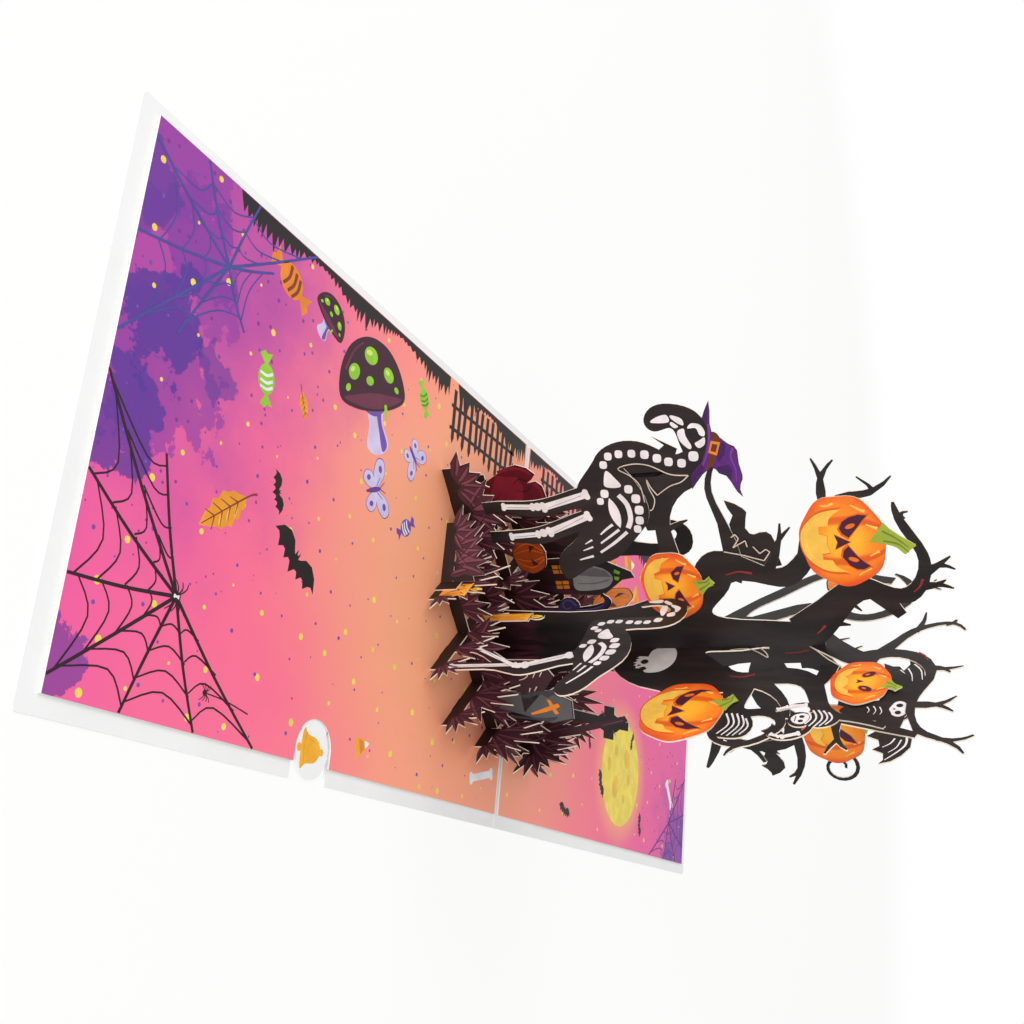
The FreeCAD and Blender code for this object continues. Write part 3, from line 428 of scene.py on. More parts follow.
faces = {
    "big_pumpkin": {
        "eye": [[(-46.3, 137.6), (-44.6, 136.0), (-42.5, 134.3), (-39.1, 131.4), (-40.6, 129.6), (-42.4, 128.9),
                 (-44.6, 130.0), (-46.0, 132.2), (-46.7, 135)],
                [(-29.1, 136.8), (-28.0, 134.6), (-28.2, 132.6), (-29.6, 130.6), (-32.6, 128.8), (-34.8, 129.4),
                 (-36.2, 131.0), (-32.4, 133.4), (-30.6, 135.0)],
                [(-37.6, 131.6), (-40.2, 127.2), (-37.7, 127.9), (-35.4, 127.0)]],
        "glint": [oval(-43.0, 132.3, 0.75, 1.6, 20), oval(-31.6, 132.0, 0.75, 1.6, -20)],
        "lip": [(-48.8, 130.2), (-48.6, 126.8), (-47.8, 123.2), (-45.5, 120), (-42, 117.4), (-38, 116.8),
                (-33.5, 117.8), (-29.9, 120.6), (-27.8, 124.4), (-27.2, 130.0)],
        "teeth": [(-28.6, 127.4), (-29.6, 126.4), (-31.5, 125.6), (-31.9, 122.8), (-33.9, 122.8),
                  (-34.2, 125.2), (-37.2, 124.6), (-40, 125.0), (-40.8, 122.6), (-43.2, 122.8),
                  (-43.4, 125.6), (-45.6, 126.2), (-47.2, 127.6)]},
    "middle_pumpkin": {
        "eye": [[(-31.8, 77.8), (-31.6, 75.4), (-29.6, 73.0), (-27.2, 73.4), (-26.0, 74.8), (-28.6, 76.0)],
                [(-16.8, 77.4), (-17.2, 74.6), (-19.6, 72.6), (-21.6, 73.2), (-23.0, 74.6), (-20.2, 75.8)],
                [(-24.5, 73.4), (-26.2, 70.5), (-24.6, 71.0), (-22.9, 70.6)]],
        "glint": [oval(-29.2, 75.0, 0.5, 1.0, 20), oval(-19.4, 74.6, 0.5, 1.0, -20)],
        "lip": [(-35.0, 73.4), (-34.6, 69.0), (-32.4, 65.6), (-28.0, 63.4), (-23.6, 63.2), (-19.0, 64.4),
                (-15.4, 67.8), (-14.2, 72.4)],
        "teeth": [(-16.4, 69.6), (-18.6, 69.0), (-19.6, 67.0), (-21.2, 67.2), (-21.6, 69.2), (-27.0, 69.2),
                  (-27.6, 67.0), (-29.4, 67.2), (-30.2, 69.2), (-33.0, 70.2)]},
    "lower_pumpkin": {
        "eye": [[(46.4, 87.6), (47.2, 84.4), (50, 82.2), (54.6, 80.0), (54.2, 78.2), (52.5, 77.2), (49.5, 78.0),
                 (47.0, 80.6), (45.8, 84.0)],
                [(66.4, 88.4), (67.2, 84.4), (66.0, 80.8), (63.6, 78.4), (61.4, 78.2), (60.4, 80.0), (63.4, 83.2), (65.2, 86.0)],
                [(57.6, 81.2), (54.9, 76.8), (57.5, 77.4), (60.2, 76.6)]],
        "glint": [oval(49.0, 81.0, 0.75, 1.6, 20), oval(64.4, 81.6, 0.75, 1.6, -20)],
        "lip": [(46.2, 80.8), (46.4, 75.8), (48.6, 71.4), (52.0, 68.6), (56.4, 67.4), (61.4, 68.4),
                (65.8, 71.4), (68.4, 75.8), (68.8, 80.8), (67.2, 77.8)],
        "teeth": [(64.8, 76.4), (64.2, 73.6), (62.0, 73.6), (61.2, 75.8), (57.8, 75.0), (54.6, 75.4),
                  (54.0, 72.8), (51.6, 73.2), (51.0, 76.2), (48.4, 77.6)]},
    "upper_pumpkin": {
        "eye": [oval(37.4, 134.7, 1.25, 2.1, 30), oval(45.2, 134.4, 1.25, 2.2, -30),
                [(41.2, 133.4), (40.2, 131.4), (41.2, 131.8), (42.2, 131.3)]],
        "glint": [oval(37.6, 134.3, 0.45, 0.8, 30), oval(45.0, 134.0, 0.45, 0.8, -30)],
        "lip": [(33.4, 131.8), (34.6, 127.8), (38.2, 125.4), (43.4, 125.2), (47.6, 127.4), (49.4, 131.6)],
        "teeth": [(47.4, 129.6), (45.8, 129.4), (44.8, 127.8), (43.2, 129.0), (39.8, 129.0), (38.4, 127.6),
                  (37.2, 129.2), (35.2, 129.8)]},
    "rear_pumpkin": {
        "eye": [[(31.2, 119.3), (34, 122.5), (37, 124.2), (36, 120.5), (33, 117.8)]],
        "glint": [],
        "lip": [(38.6, 114.2), (37.0, 110.8), (33.5, 109.4), (29.6, 110.0), (26.6, 112.2), (25.2, 115.6)],
        "teeth": [(27.7, 114.4), (29.6, 115.0), (31.0, 112.8), (33.5, 113.8), (35.8, 112.4)]},
}


def grownRing(ring, grow):
    mid = (sum(p[0] for p in ring) / len(ring), sum(p[1] for p in ring) / len(ring))
    return [(mid[0] + (p[0] - mid[0]) * (1 + grow), mid[1] + (p[1] - mid[1]) * (1 + grow)) for p in ring]


def stalkRing(foot, mid, tip, width):
    # wide where it grows from the pumpkin, and cut off slanting at its tip
    lean = Vector((tip[0] - foot[0], tip[1] - foot[1]))
    length = lean.length
    lean.normalize()
    side = Vector((-lean.y, lean.x))
    at = lambda p, a, b: (p[0] + lean.x * a * length + side.x * b * width, p[1] + lean.y * a * length + side.y * b * width)
    return [at(foot, -0.3, 1.15), at(foot, 0.12, 0.76), at(mid, 0, 0.52), at(tip, 0.08, 0.66), at(tip, -0.08, -0.66),
            at(mid, 0, -0.52), at(foot, 0.1, -0.8), at(foot, -0.34, -1.2)]


def buildPumpkin(name, facts):
    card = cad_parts[name]
    plane = facts["plane"]
    card.data.materials.clear()
    card.data.materials.append(pumpkinSkin(name + "_skin", plane, facts["centre"], facts["size"]))
    cu, cz = facts["centre"]
    hu, hz = facts["size"][0] / 2, facts["size"][1] / 2
    face = faces[name]
    printed(name + "_shine", "shine", plane, [
        stroke([(cu + a * hu, cz + b * hz), (cu + (a + c) * hu * 0.96, cz + (b + d) * hz), (cu + (a + 2 * c) * hu, cz + (b + 2.4 * d) * hz)],
               w * hu, w * hu * 0.3)
        for a, b, c, d, w in ((-0.62, 0.56, -0.08, -0.12, 0.07), (-0.24, 0.78, -0.05, -0.1, 0.07), (0.26, 0.76, 0.05, -0.09, 0.06),
                              (0.62, 0.54, 0.08, -0.12, 0.06), (-0.84, -0.1, 0.02, -0.12, 0.05))], gluedFace, 1)
    grin = curveThrough(face["lip"], False, 4) + face["teeth"]
    printed(name + "_grin_edge", "grinEdge", plane, [grownRing(grin, 0.07)], gluedFace, 1)
    printed(name + "_grin", "grin", plane, [grin], gluedFace, 2)
    printed(name + "_grin_lines", "shine", plane, [
        stroke([(cu + (p[0] - cu) * 0.9, p[1] + 1.6), (cu + (q[0] - cu) * 0.9, q[1] + 1.4)], 0.5, 0.2)
        for p, q in zip(face["lip"][2:-2], face["lip"][3:-2])], gluedFace, 3)
    printed(name + "_eye_rims", "grinEdge", plane, [grownRing(r, 0.16) for r in face["eye"]], gluedFace, 2)
    printed(name + "_eyes", "eye", plane, face["eye"], gluedFace, 3)
    if face["glint"]:
        printed(name + "_glints", "glint", plane, face["glint"], gluedFace, 4)
    foot, mid, tip = stalks[name]
    width = 0.12 * facts["size"][1]
    printed(name + "_stem", "stem", plane, [stalkRing(foot, mid, tip, width)], gluedFace, 2)
    printed(name + "_stem_lines", "stemDark", plane,
            [stroke([(foot[0] + d * 1.6, foot[1] - 0.6), (mid[0] + d * 0.8, mid[1]), (tip[0] + d * 0.8, tip[1] - 0.6)],
                    width * 0.2, width * 0.1) for d in (-width * 0.34, width * 0.3)], gluedFace, 3)


for pumpkinName, pumpkinFacts in pumpkins.items():
    buildPumpkin(pumpkinName, pumpkinFacts)
print("pumpkins done")


# The two birds: bones printed on black card

largeBird = {
    "plane": ("Q", -1),
    "spine": [(-70.0, 88.2, 1.5), (-68.0, 84.0, 1.3), (-68.8, 79.9, 1.3), (-70.3, 76.4, 1.3), (-71.9, 72.6, 1.3),
              (-72.6, 68.4, 1.2), (-72.8, 64.1, 1.2), (-72.3, 60.4, 1.2), (-69.5, 58.2, 1.2),
              (-60.4, 64.8, 1.3), (-56.9, 66.6, 1.4), (-52.8, 66.9, 1.4), (-49.1, 66.3, 1.3), (-46.1, 65.0, 1.2),
              (-59.4, 56.4, 1.3), (-56.8, 54.4, 1.1)],
    "almonds": [((-57.8, 57.6), (-46.8, 59.2), 3.4)],
    "shoulder": [(-67.4, 58.6), (-64.4, 61.2), (-61.8, 62.6), (-61.2, 60.4), (-61.8, 57.4), (-63.4, 57.0)],
    "strokes": [([(-58.6, 61.0), (-55, 63.2), (-50, 63.4), (-46.6, 61.8)], 1.7, 1.7),
                ([(-45.2, 61.2), (-41.5, 56), (-38.2, 50.4)], 1.2, 0.8),
                ([(-46.2, 58.6), (-43.8, 54.8), (-41.6, 51.2)], 1.0, 0.6),
                ([(-48.2, 56.8), (-46.6, 54.2), (-44.8, 51.8)], 1.0, 0.5),
                ([(-43.0, 48.4), (-41.6, 45.6)], 0.7, 0.3), ([(-40.4, 48.2), (-39.2, 44.4)], 0.7, 0.3),
                ([(-37.0, 47.6), (-35.8, 42.4)], 0.9, 0.4)],
    "bones": [((-59.6, 50.0), (-56.0, 34.0), 1.7), ((-51.8, 49.0), (-46.8, 34.0), 1.7),
              ((-56.4, 30.0), (-57.2, 19.5), 1.3), ((-46.2, 29.6), (-45.9, 19.6), 1.3)],
    "joints": [(-56.4, 31.9, 1.5), (-46.6, 31.6, 1.5)],
    "skull": [
        [(-79.4, 88.0), (-80.9, 89.4), (-80.3, 92.0), (-78.0, 93.2), (-76.4, 92.8), (-76.9, 91.4), (-79.2, 90.6)],
        [(-75.9, 92.8), (-73.6, 92.4), (-72.6, 90.4), (-74.2, 89.4), (-75.0, 90.8)],
        [(-79.4, 86.8), (-76.9, 87.0), (-73.4, 88.2), (-72.6, 87.2), (-75.4, 84.9), (-78.6, 84.6)],
        [(-80.6, 87.0), (-82.8, 86.6), (-84.2, 83.6), (-83.2, 83.4), (-81.2, 85.4)],
        [(-80.3, 85.2), (-82.0, 83.4), (-81.2, 82.8), (-79.9, 83.9)],
        [(-84.4, 82.2), (-82.0, 82.4), (-82.2, 77.4), (-83.0, 76.9), (-84.2, 79.4)]],
}

smallBird = {
    "plane": ("P", -1),
    "spine": [(24.9, 70.6, 1.3), (26.3, 67.2, 1.1), (26.4, 64.2, 1.1), (26.0, 61.1, 1.1), (25.4, 57.4, 1.1),
              (25.4, 54.4, 1.1), (26.8, 51.6, 1.1), (29.8, 50.0, 1.1), (31.6, 51.8, 1.0),
              (38.6, 59.4, 1.3), (42.4, 60.4, 1.5), (46.6, 60.2, 1.5), (50.6, 59.2, 1.4), (53.9, 57.8, 1.1),
              (39.4, 51.8, 1.3), (42.2, 49.6, 1.1)],
    "almonds": [((41.2, 52.4), (53.0, 53.4), 3.2)],
    "shoulder": [(30.6, 54.8), (33.4, 56.6), (36.2, 58.2), (37.6, 57.0), (36.8, 53.4), (33.6, 52.8)],
    "strokes": [([(40.2, 54.8), (43.4, 57.2), (49, 57.0), (53.6, 55.2)], 1.6, 1.6),
                ([(56.0, 56.8), (60, 55.2), (66.8, 51.2)], 1.0, 0.6), ([(55.4, 54.4), (59.6, 52.8)], 0.9, 0.5),
                ([(53.8, 52.4), (58.4, 51.0)], 0.7, 0.4)],
    "bones": [((48.4, 46.8), (54.6, 33.4), 2.0), ((55.2, 30.2), (43.2, 12.8), 1.1), ((54.4, 29.6), (55.0, 8.4), 1.4)],
    "joints": [(55.0, 31.4, 1.7)],
    "skull": [
        [(14.0, 73.0), (16.2, 76.2), (19.0, 76.0), (19.4, 75.0), (17.0, 74.4), (15.2, 72.8)],
        [(19.4, 74.8), (22.0, 75.4), (22.6, 73.2), (20.6, 72.8)],
        [(14.8, 71.4), (18.0, 72.0), (21.8, 71.6), (21.2, 70.6), (17.8, 69.6), (15.0, 70.0)],
        [(10.8, 70.2), (13.0, 72.6), (14.2, 72.0), (12.0, 69.6)],
        [(10.0, 68.6), (12.2, 69.0), (12.4, 66.4), (11.8, 64.4), (10.8, 65.0)]],
}


def buildBones(name, facts, lift, spot=lambda p: p):
    # all of a bird's bones; spot moves a drawn point to its place on the card
    put = lambda ring: [spot(p) for p in ring]
    rings = [put(soft([(u - r, z - r * 0.7), (u + r * 0.8, z - r), (u + r, z + r * 0.7), (u - r * 0.8, z + r)]))
             for u, z, r in facts["spine"]]
    rings += [put(almond(a, b, w)) for a, b, w in facts["almonds"]]
    rings += [put(soft(facts["shoulder"]))]
    rings += [put(stroke(points, w, tip)) for points, w, tip in facts["strokes"]]
    rings += [put(bone(a, b, w, 0.62)) for a, b, w in facts["bones"]]
    rings += [put(soft(ring)) for ring in facts["skull"]]
    printed(name + "_bones", "bone", facts["plane"], rings, lift, 1)
    printed(name + "_joints", "bone", facts["plane"], [put(oval(u, z, r, r)) for u, z, r in facts["joints"]], lift, 2)
    shade = [put(stroke([(a[0] + w * 0.18, a[1] + (b[1] - a[1]) * 0.12), (b[0] + w * 0.18, b[1] - (b[1] - a[1]) * 0.1)],
                        0.28, 0.18)) for a, b, w in facts["bones"]]
    printed(name + "_bone_lines", "boneGrey", facts["plane"], shade, lift, 3)


def smallBirdSpot(p):
    # from where the bones were drawn to the outline the card has
    return (21.6 + 0.88 * (p[0] - 10.0), p[1] - 1.5 if p[1] < 12 else p[1])


# black card of the tree shows between the bird's neck and its body
printed("neck_card", "black", ("Q", -1), [soft([
    (-68.9, 61.6), (-70.4, 65.0), (-70.3, 70.8), (-68.6, 76.0), (-65.8, 78.2), (-64.0, 75), (-64.2, 68), (-66.0, 62.4)], 3)],
    0.02 - cardFace, 16)
buildBones("large_bird", largeBird, gluedFace)
buildBones("small_bird", smallBird, cardFace, smallBirdSpot)

hatRing = [(-87.5, 96.0), (-84.3, 95.7), (-80.3, 95.0), (-77.5, 95.1), (-75.3, 97.4), (-73.0, 99.5), (-72.1, 101.1),
           (-70.7, 101.9), (-66.3, 101.7), (-62.6, 102.2), (-61.1, 102.0), (-59.5, 101.1), (-57.7, 100.7),
           (-55.6, 101.1), (-57.2, 99.9), (-60.8, 98.5), (-62.8, 97.4), (-63.8, 95.3), (-65.2, 94.5), (-66.0, 93.0),
           (-63.8, 89.9), (-61.2, 87.5), (-59.2, 86.0), (-62.4, 86.1), (-64.3, 86.8), (-67.7, 90.4), (-71.7, 92.4),
           (-75.0, 93.6), (-79.4, 94.3), (-82.2, 93.2), (-85.0, 94.5)]
printed("hat_print", "hat", ("Q", -1), [hatRing], gluedFace, 1)
printed("hat_shade", "hatDark", ("Q", -1), [
    [(-86.6, 95.7), (-81.8, 94.9), (-79.4, 94.5), (-82.2, 93.3), (-85.0, 94.6)],
    [(-67.4, 90.4), (-65.2, 91.0), (-62.4, 88.4), (-59.6, 86.1), (-62.4, 86.2), (-64.2, 86.9)],
    [(-66.4, 98.6), (-64.6, 99.6), (-61.0, 98.6), (-63.0, 97.3), (-64.0, 95.2), (-65.6, 94.8)],
    [(-74.0, 97.9), (-73.0, 99.0), (-69.6, 98.0), (-67.4, 95.8), (-69.6, 95.2)]], gluedFace, 2)
printed("hat_light", "hatLight", ("Q", -1), [
    stroke([(-71.6, 101.0), (-69.0, 99.8), (-64.6, 100.6), (-60.4, 100.2)], 0.8, 0.2),
    stroke([(-80.2, 94.8), (-75.6, 94.2), (-70.0, 92.4), (-65.0, 89.4), (-61.4, 87.0)], 0.7, 0.3)], gluedFace, 2)
printed("hat_band", "band", ("Q", -1), [
    soft([(-77.6, 95.4), (-75.8, 97.4), (-71.2, 96.1), (-67.6, 94.6), (-65.9, 93.1), (-65.0, 91.4), (-69.6, 93.2),
          (-74.4, 94.6)], 3)], gluedFace, 3)
buckle = [(-73.9, 97.4), (-69.6, 95.6), (-70.8, 93.1), (-74.7, 94.6)]
printed("hat_buckle", "buckle", ("Q", -1), [buckle], gluedFace, 4)
printed("hat_buckle_hole", "band", ("Q", -1), [grownRing(buckle, -0.42)], gluedFace, 5)
print("birds done")


# Figures printed on the sheets

def pumpkinRing(centre, size, shrink=0.94):
    ring = []
    for i in range(36):
        a = 2 * math.pi * i / 36
        r = shrink * (1.0 + 0.022 * math.cos(7 * a))
        ring.append((centre[0] + r * size[0] / 2 * math.cos(a),
                     centre[1] + r * size[1] / 2 * math.sin(a) * (1 - 0.06 * abs(math.sin(a)))))
    return ring


def flatPumpkin(name, plane, centre, size, tone="sweet", floor=-1.0):
    # a pumpkin printed on a sheet: body, ribs and two slit eyes
    low = lambda ring: [(u, max(z, floor)) for u, z in ring]
    printed(name, tone, plane, [low(pumpkinRing(centre, size))], cardFace, 1)
    hu, hz = size[0] / 2, size[1] / 2
    ribs = [stroke([(centre[0] + side * hu * 0.1 * k, centre[1] + hz * 0.8), (centre[0] + side * hu * 0.3 * k, centre[1]),
                    (centre[0] + side * hu * 0.12 * k, centre[1] - hz * 0.8)], 0.5, 0.2)
            for k in (1, 2.2) for side in (-1, 1)]
    printed(name + "_ribs", "grinEdge", plane, ribs, cardFace, 2)
    eyes = [[(centre[0] + side * hu * a, centre[1] + hz * b) for a, b in ((0.15, 0.05), (0.5, 0.42), (0.55, 0.1))]
            for side in (-1, 1)]
    printed(name + "_eyes", "eye", plane, eyes, cardFace, 3)


# the pumpkin printed on the middle sheet takes a darker orange than the others: painted shade, for the shadow cast by
# the sheets in front
flatPumpkin("middle_printed_pumpkin", ("Q", 0), (-28, 14), (15, 14), "paintedShadeOrange")
flatPumpkin("bush_printed_pumpkin", ("P", 1), (-50, 20), (21, 18))
flatPumpkin("tree_printed_pumpkin", ("P", 0), (-22.5, 121), (18, 17))

lidRing = [(-56.8, 3), (-60.5, 9.4), (-62.9, 14), (-63.4, 17.5), (-62.0, 21.2), (-59.7, 23.5), (-58.0, 21.9),
           (-56.4, 19.6), (-56.6, 23.4), (-54.9, 25.3), (-51, 25.8), (-47.2, 24.6), (-45, 20.4), (-45.4, 12), (-48, 3)]
printed("lid_print", "coffin", ("Q", 0), [lidRing], cardFace, 1)
printed("lid_light", "coffinLight", ("Q", 0), [
    stroke([(-61.4, 10), (-62.6, 16), (-61.2, 20.8), (-59.6, 22.4)], 1.3, 0.7),
    stroke([(-56.0, 22.6), (-54.4, 24.5), (-50.4, 24.8), (-47.4, 23.4)], 1.3, 0.6),
    [(-60.2, 9), (-59.0, 17), (-55.4, 18.6), (-49.4, 17), (-47.6, 9), (-53, 5)]], cardFace, 2)
printed("lid_lines", "black", ("Q", 0), [
    stroke([(-57.4, 20.4), (-58.2, 17.4), (-56.6, 15.0)], 0.5, 0.2),
    stroke([(-55.0, 21.4), (-53.4, 18.6), (-54.2, 15.4)], 0.4, 0.2)], cardFace, 3)

printed("hook_print", "curl", ("Q", 0), [
    stroke([(-4.3, 12), (-4.1, 28), (-5.3, 36), (-8, 40), (-10.4, 38.6)], 2.7, 0.9),
    grownRing(soft([(-8, 28.6), (-10.2, 26.2), (-9.8, 23), (-7.4, 20.6), (-4, 19.8), (-3.6, 26), (-5.4, 28.4)]), -0.07)],
    cardFace, 1)
printed("hook_light", "curlLight", ("Q", 0), [
    stroke([(-6.6, 27.4), (-8.8, 25.8), (-8.8, 23.4), (-6.8, 22.2), (-5.4, 23.6), (-6.2, 25.2)], 0.7, 0.3),
    stroke([(-4.8, 27), (-5.2, 33), (-6.4, 37.2), (-8.6, 39.2)], 0.5, 0.3)], cardFace, 2)

stoneRing = moved([(-3.5, 14.1), (3.5, 14.1), (6.4, 6.4), (3.2, -13), (-3.2, -13), (-6.4, 6.4)], (9.5, 21), 1.0, -8)
printed("gravestone_print", "stone", ("Q", -2), [stoneRing], cardFace, 1)
printed("gravestone_shade", "stoneDark", ("Q", -2), [
    soft([(4.4, 33), (6.2, 31.6), (5.4, 29.4), (6.4, 27.2), (5.0, 24.4), (6.6, 20.0), (5.6, 17.0), (4.0, 24), (3.4, 30)], 3),
    soft([(14.4, 29), (16.2, 26.2), (15.6, 19.4), (14.8, 12.4), (13.6, 10.6), (14.6, 18.4), (14.8, 24.4)], 3)],
    cardFace, 2)
printed("gravestone_cross", "buckle", ("Q", -2), [
    [(8.7, 30.4), (10.1, 30.9), (11.2, 28.6), (12.4, 24.8), (13.6, 19.6), (12.9, 19.2), (11.2, 23.6), (9.7, 27.6)],
    [(7.1, 26.6), (7.4, 27.9), (10.2, 28.7), (12.9, 29.9), (13.3, 28.4), (10.6, 27.4)]], cardFace, 3)
printed("board_print", "grainDark", ("Q", -2), [
    [(-8.2, 15), (-8.2, 27.4), (-2, 31.0), (4.6, 25.4), (12.6, 17.0), (4.8, 17.4), (-2, 12.6)]], cardFace, 1)
printed("board_lines", "line", ("Q", -2), [
    stroke(line, 0.45, 0.25) for line in (
        [(-3.8, 27.4), (-2.0, 26.2)], [(-3.4, 24.8), (-1.6, 23.6)], [(2.0, 24.2), (3.8, 22.9)], [(2.6, 21.6), (4.2, 20.8)],
        [(-6.2, 26.2), (-5.0, 23.4), (-3.8, 21.6)], [(-4.0, 21.4), (-2.4, 21.8), (-1.2, 20.2), (-0.6, 18.2)])],
    cardFace, 2)
flatCoffin = moved([(-3.5, 14.6), (3.5, 14.6), (6.4, 6.6), (3.2, -13), (-3.2, -13), (-6.4, 6.6)], (-9.5, 20), 1.0, 8)
printed("rear_coffin_print", "coffin", ("Q", 2), [flatCoffin], cardFace, 1)
printed("rear_coffin_cross", "stone", ("Q", 2), [
    stroke([(-10.6, 30.0), (-9.2, 17.6)], 1.4, 0.9), stroke([(-13.0, 25.4), (-7.0, 26.6)], 1.3, 1.3)], cardFace, 2)

printed("ringed_cross_print", "grainDark", ("Q", -1), [
    stroke([(28.6, 45.0), (30.5, 38), (36.4, 14)], 2.4, 3.0, 2)], cardFace, 1)
printed("ringed_cross_lines", "bladeLight", ("Q", -1), [
    stroke([(29.4, 43.6), (31.6, 35.2)], 0.4, 0.2), stroke([(25.4, 36.4), (27.6, 37.2)], 0.4, 0.2),
    stroke([(33.6, 38.8), (35.8, 39.4)], 0.4, 0.2)], cardFace, 2)

houseWindows = [[(-13.4, 12), (-9.8, 12), (-9.7, 17.4), (-13.2, 17.0)], [(-6.6, 12), (-3.2, 12), (-3.1, 17.2), (-6.5, 17.4)]]
printed("house_windows", "buckle", ("Q", 1), houseWindows, cardFace, 1)
printed("house_bars", "black", ("Q", 1), [
    stroke([(-11.6, 12), (-11.5, 17.4)], 0.4), stroke([(-13.4, 14.6), (-9.7, 14.7)], 0.4),
    stroke([(-4.9, 12), (-4.8, 17.4)], 0.4), stroke([(-6.6, 14.7), (-3.1, 14.6)], 0.4)], cardFace, 2)
printed("house_stone", "stoneLight", ("Q", 1), [
    soft([(-12.2, 20), (-12.4, 28), (-10.4, 33.4), (-7.0, 35.4), (-3.6, 33.2), (-2.2, 28), (-2.4, 20), (-7, 19.4)])],
    cardFace, 1)
printed("house_stone_shade", "stoneMid", ("Q", 1), [
    [(-12.0, 20), (-12.1, 28), (-10.2, 33.0), (-7.4, 35.0), (-8.0, 27), (-9.0, 20)],
    stroke([(-6.4, 34.0), (-5.0, 28), (-5.2, 21)], 0.6, 0.3)], cardFace, 2)
printed("house_lights", "lime", ("Q", 1), [
    [(-10.6, 36.8), (-9.4, 38.9), (-8.3, 38.2), (-9.2, 36.3)], [(-7.6, 36.2), (-7.2, 38.2), (-5.8, 37.4), (-6.2, 36.0)]],
    cardFace, 2)


def candlePrint(name, plane, u, z, height, wide=1.0):
    top = z + height
    printed(name + "_wax", "candle", plane, [
        [(u - 1.8 * wide, z + 1), (u + 1.8 * wide, z + 1), (u + 2.0 * wide, top - 1), (u + 2.4 * wide, top - 0.2),
         (u - 2.4 * wide, top - 0.2), (u - 2.0 * wide, top - 1)]], cardFace, 2)
    printed(name + "_drips", "waxLight", plane, [
        [(u + a * wide, top - b) for a, b in ((-2.3, 0.3), (2.3, 0.3), (1.7, 2.2), (1.2, 1.2), (0.5, 4.4), (-0.2, 1.3),
                                               (-0.9, 3.0), (-1.7, 1.4))],
        stroke([(u - 1.2, z + 1.6), (u - 1.2, top - 3.4)], 0.6, 0.4)], cardFace, 3)
    printed(name + "_flame", "flame", plane, [
        soft([(u, top + 4.5), (u + 1.1, top + 1.9), (u, top + 0.1), (u - 1.1, top + 1.9)])], cardFace, 2)
    printed(name + "_flame_heart", "sweet", plane, [
        soft([(u, top + 3.0), (u + 0.5, top + 1.5), (u, top + 0.5), (u - 0.5, top + 1.5)], 3)], cardFace, 3)


candlePrint("bird_candle", ("P", -1), 30.5, 4, 20, 1.15)
candlePrint("fin_candle", ("P", -2), 46, 2, 11, 1.9)

# bones on the tree
skullAt = (27.0, 64.8)
printed("tree_skull", "skullGrey", ("P", 0), [
    [(skullAt[0] + x, skullAt[1] + y) for x, y in soft([
        (-8.2, 0.4), (-7.0, 3.8), (-2.6, 5.6), (3.0, 5.4), (7.0, 2.6), (8.0, -1.0), (7.4, -3.2), (5.4, -3.8),
        (-2.2, -4.2), (-6.2, -3.4)], 4)],
    [(skullAt[0] + x, skullAt[1] + y) for x, y in (
        (-1.8, -3.6), (-2.2, -7.2), (-1.4, -8.0), (-0.8, -7.0), (0.0, -8.2), (0.8, -7.2), (1.8, -8.4), (2.4, -7.2),
        (3.4, -8.0), (4.0, -6.8), (5.2, -7.0), (5.6, -3.6))]], cardFace, 1)
printed("tree_skull_holes", "black", ("P", 0), [
    soft([(27.0, 60.6), (28.6, 61.6), (29.8, 60.2), (28.6, 58.8), (27.2, 59.2)], 3),
    soft([(31.4, 60.8), (32.6, 62.0), (33.8, 60.8), (33.4, 59.4), (32.0, 59.6)], 3),
    soft([(30.4, 59.6), (31.0, 58.4), (30.0, 58.2)], 3)], cardFace, 2)
ribRows = [(-3.1, 125.4, 1.5), (-3.9, 123.8, 1.7), (-4.2, 122.3, 1.7), (-4.0, 120.8, 1.5), (-3.0, 119.5, 1.2)]
printed("hung_ribs", "bone", ("P", 0), [
    stroke([(60.7 + half, z), (60.7 + half * 0.4, z + rise * 0.8), (60.7 - half * 0.2, z + rise * 0.9),
            (60.7 - half, z - 0.1)], 0.62, 0.45) for half, z, rise in ribRows], gluedFace, 1)
printed("hung_skull", "bone", ("P", 0), [soft([(58.3, 118), (59.2, 119.9), (61.6, 120.0), (63.6, 118.6), (63.2, 116.2),
                                               (61.2, 114.9), (59.2, 115.8)])], gluedFace, 2)
printed("hung_skull_holes", "black", ("P", 0), [oval(60.0, 118.0, 0.7, 0.8, 0, 10), oval(62.2, 117.9, 0.7, 0.8, 0, 10),
                                                 stroke([(59.8, 116.2), (62.4, 116.2)], 0.3)], gluedFace, 3)
printed("hung_arms", "bone", ("P", 0), [
    bone((54.0, 118.2), (54.4, 113.9), 1.1, 0.55), bone((54.9, 112.9), (56.2, 110.2), 0.8, 0.55),
    bone((68.3, 118.3), (70.1, 113.9), 1.1, 0.55), bone((70.0, 113.0), (68.9, 110.3), 0.8, 0.55)], gluedFace, 1)
printed("low_ribs", "bone", ("P", 0), [
    stroke(line, 0.6, 0.4) for line in (
        [(60.4, 101.2), (64.6, 102.6), (68.6, 100.8)], [(58.8, 99.7), (64.0, 101.2), (69.2, 98.9)],
        [(58.0, 98.0), (63.8, 99.7), (69.4, 97.2)], [(57.8, 96.3), (63.6, 98.1), (69.0, 95.5)],
        [(58.0, 94.7), (63.4, 96.5), (68.4, 93.9)])], cardFace, 1)
printed("winged_head", "bone", ("P", 0), [soft([
    (50.2, 145.2), (51.4, 146.8), (54.2, 147.3), (56.9, 146.7), (58.0, 145.0), (57.2, 143.3), (55.6, 142.7),
    (54.2, 142.2), (52.4, 142.8), (50.8, 143.6)], 3)], -cardFace, 1)
printed("winged_head_holes", "black", ("P", 0), [oval(52.4, 145.0, 0.95, 1.0, 0, 12), oval(56.0, 144.8, 0.95, 0.9, 0, 12),
                                                  oval(54.2, 143.6, 0.35, 0.4, 0, 8)], -cardFace, 2)
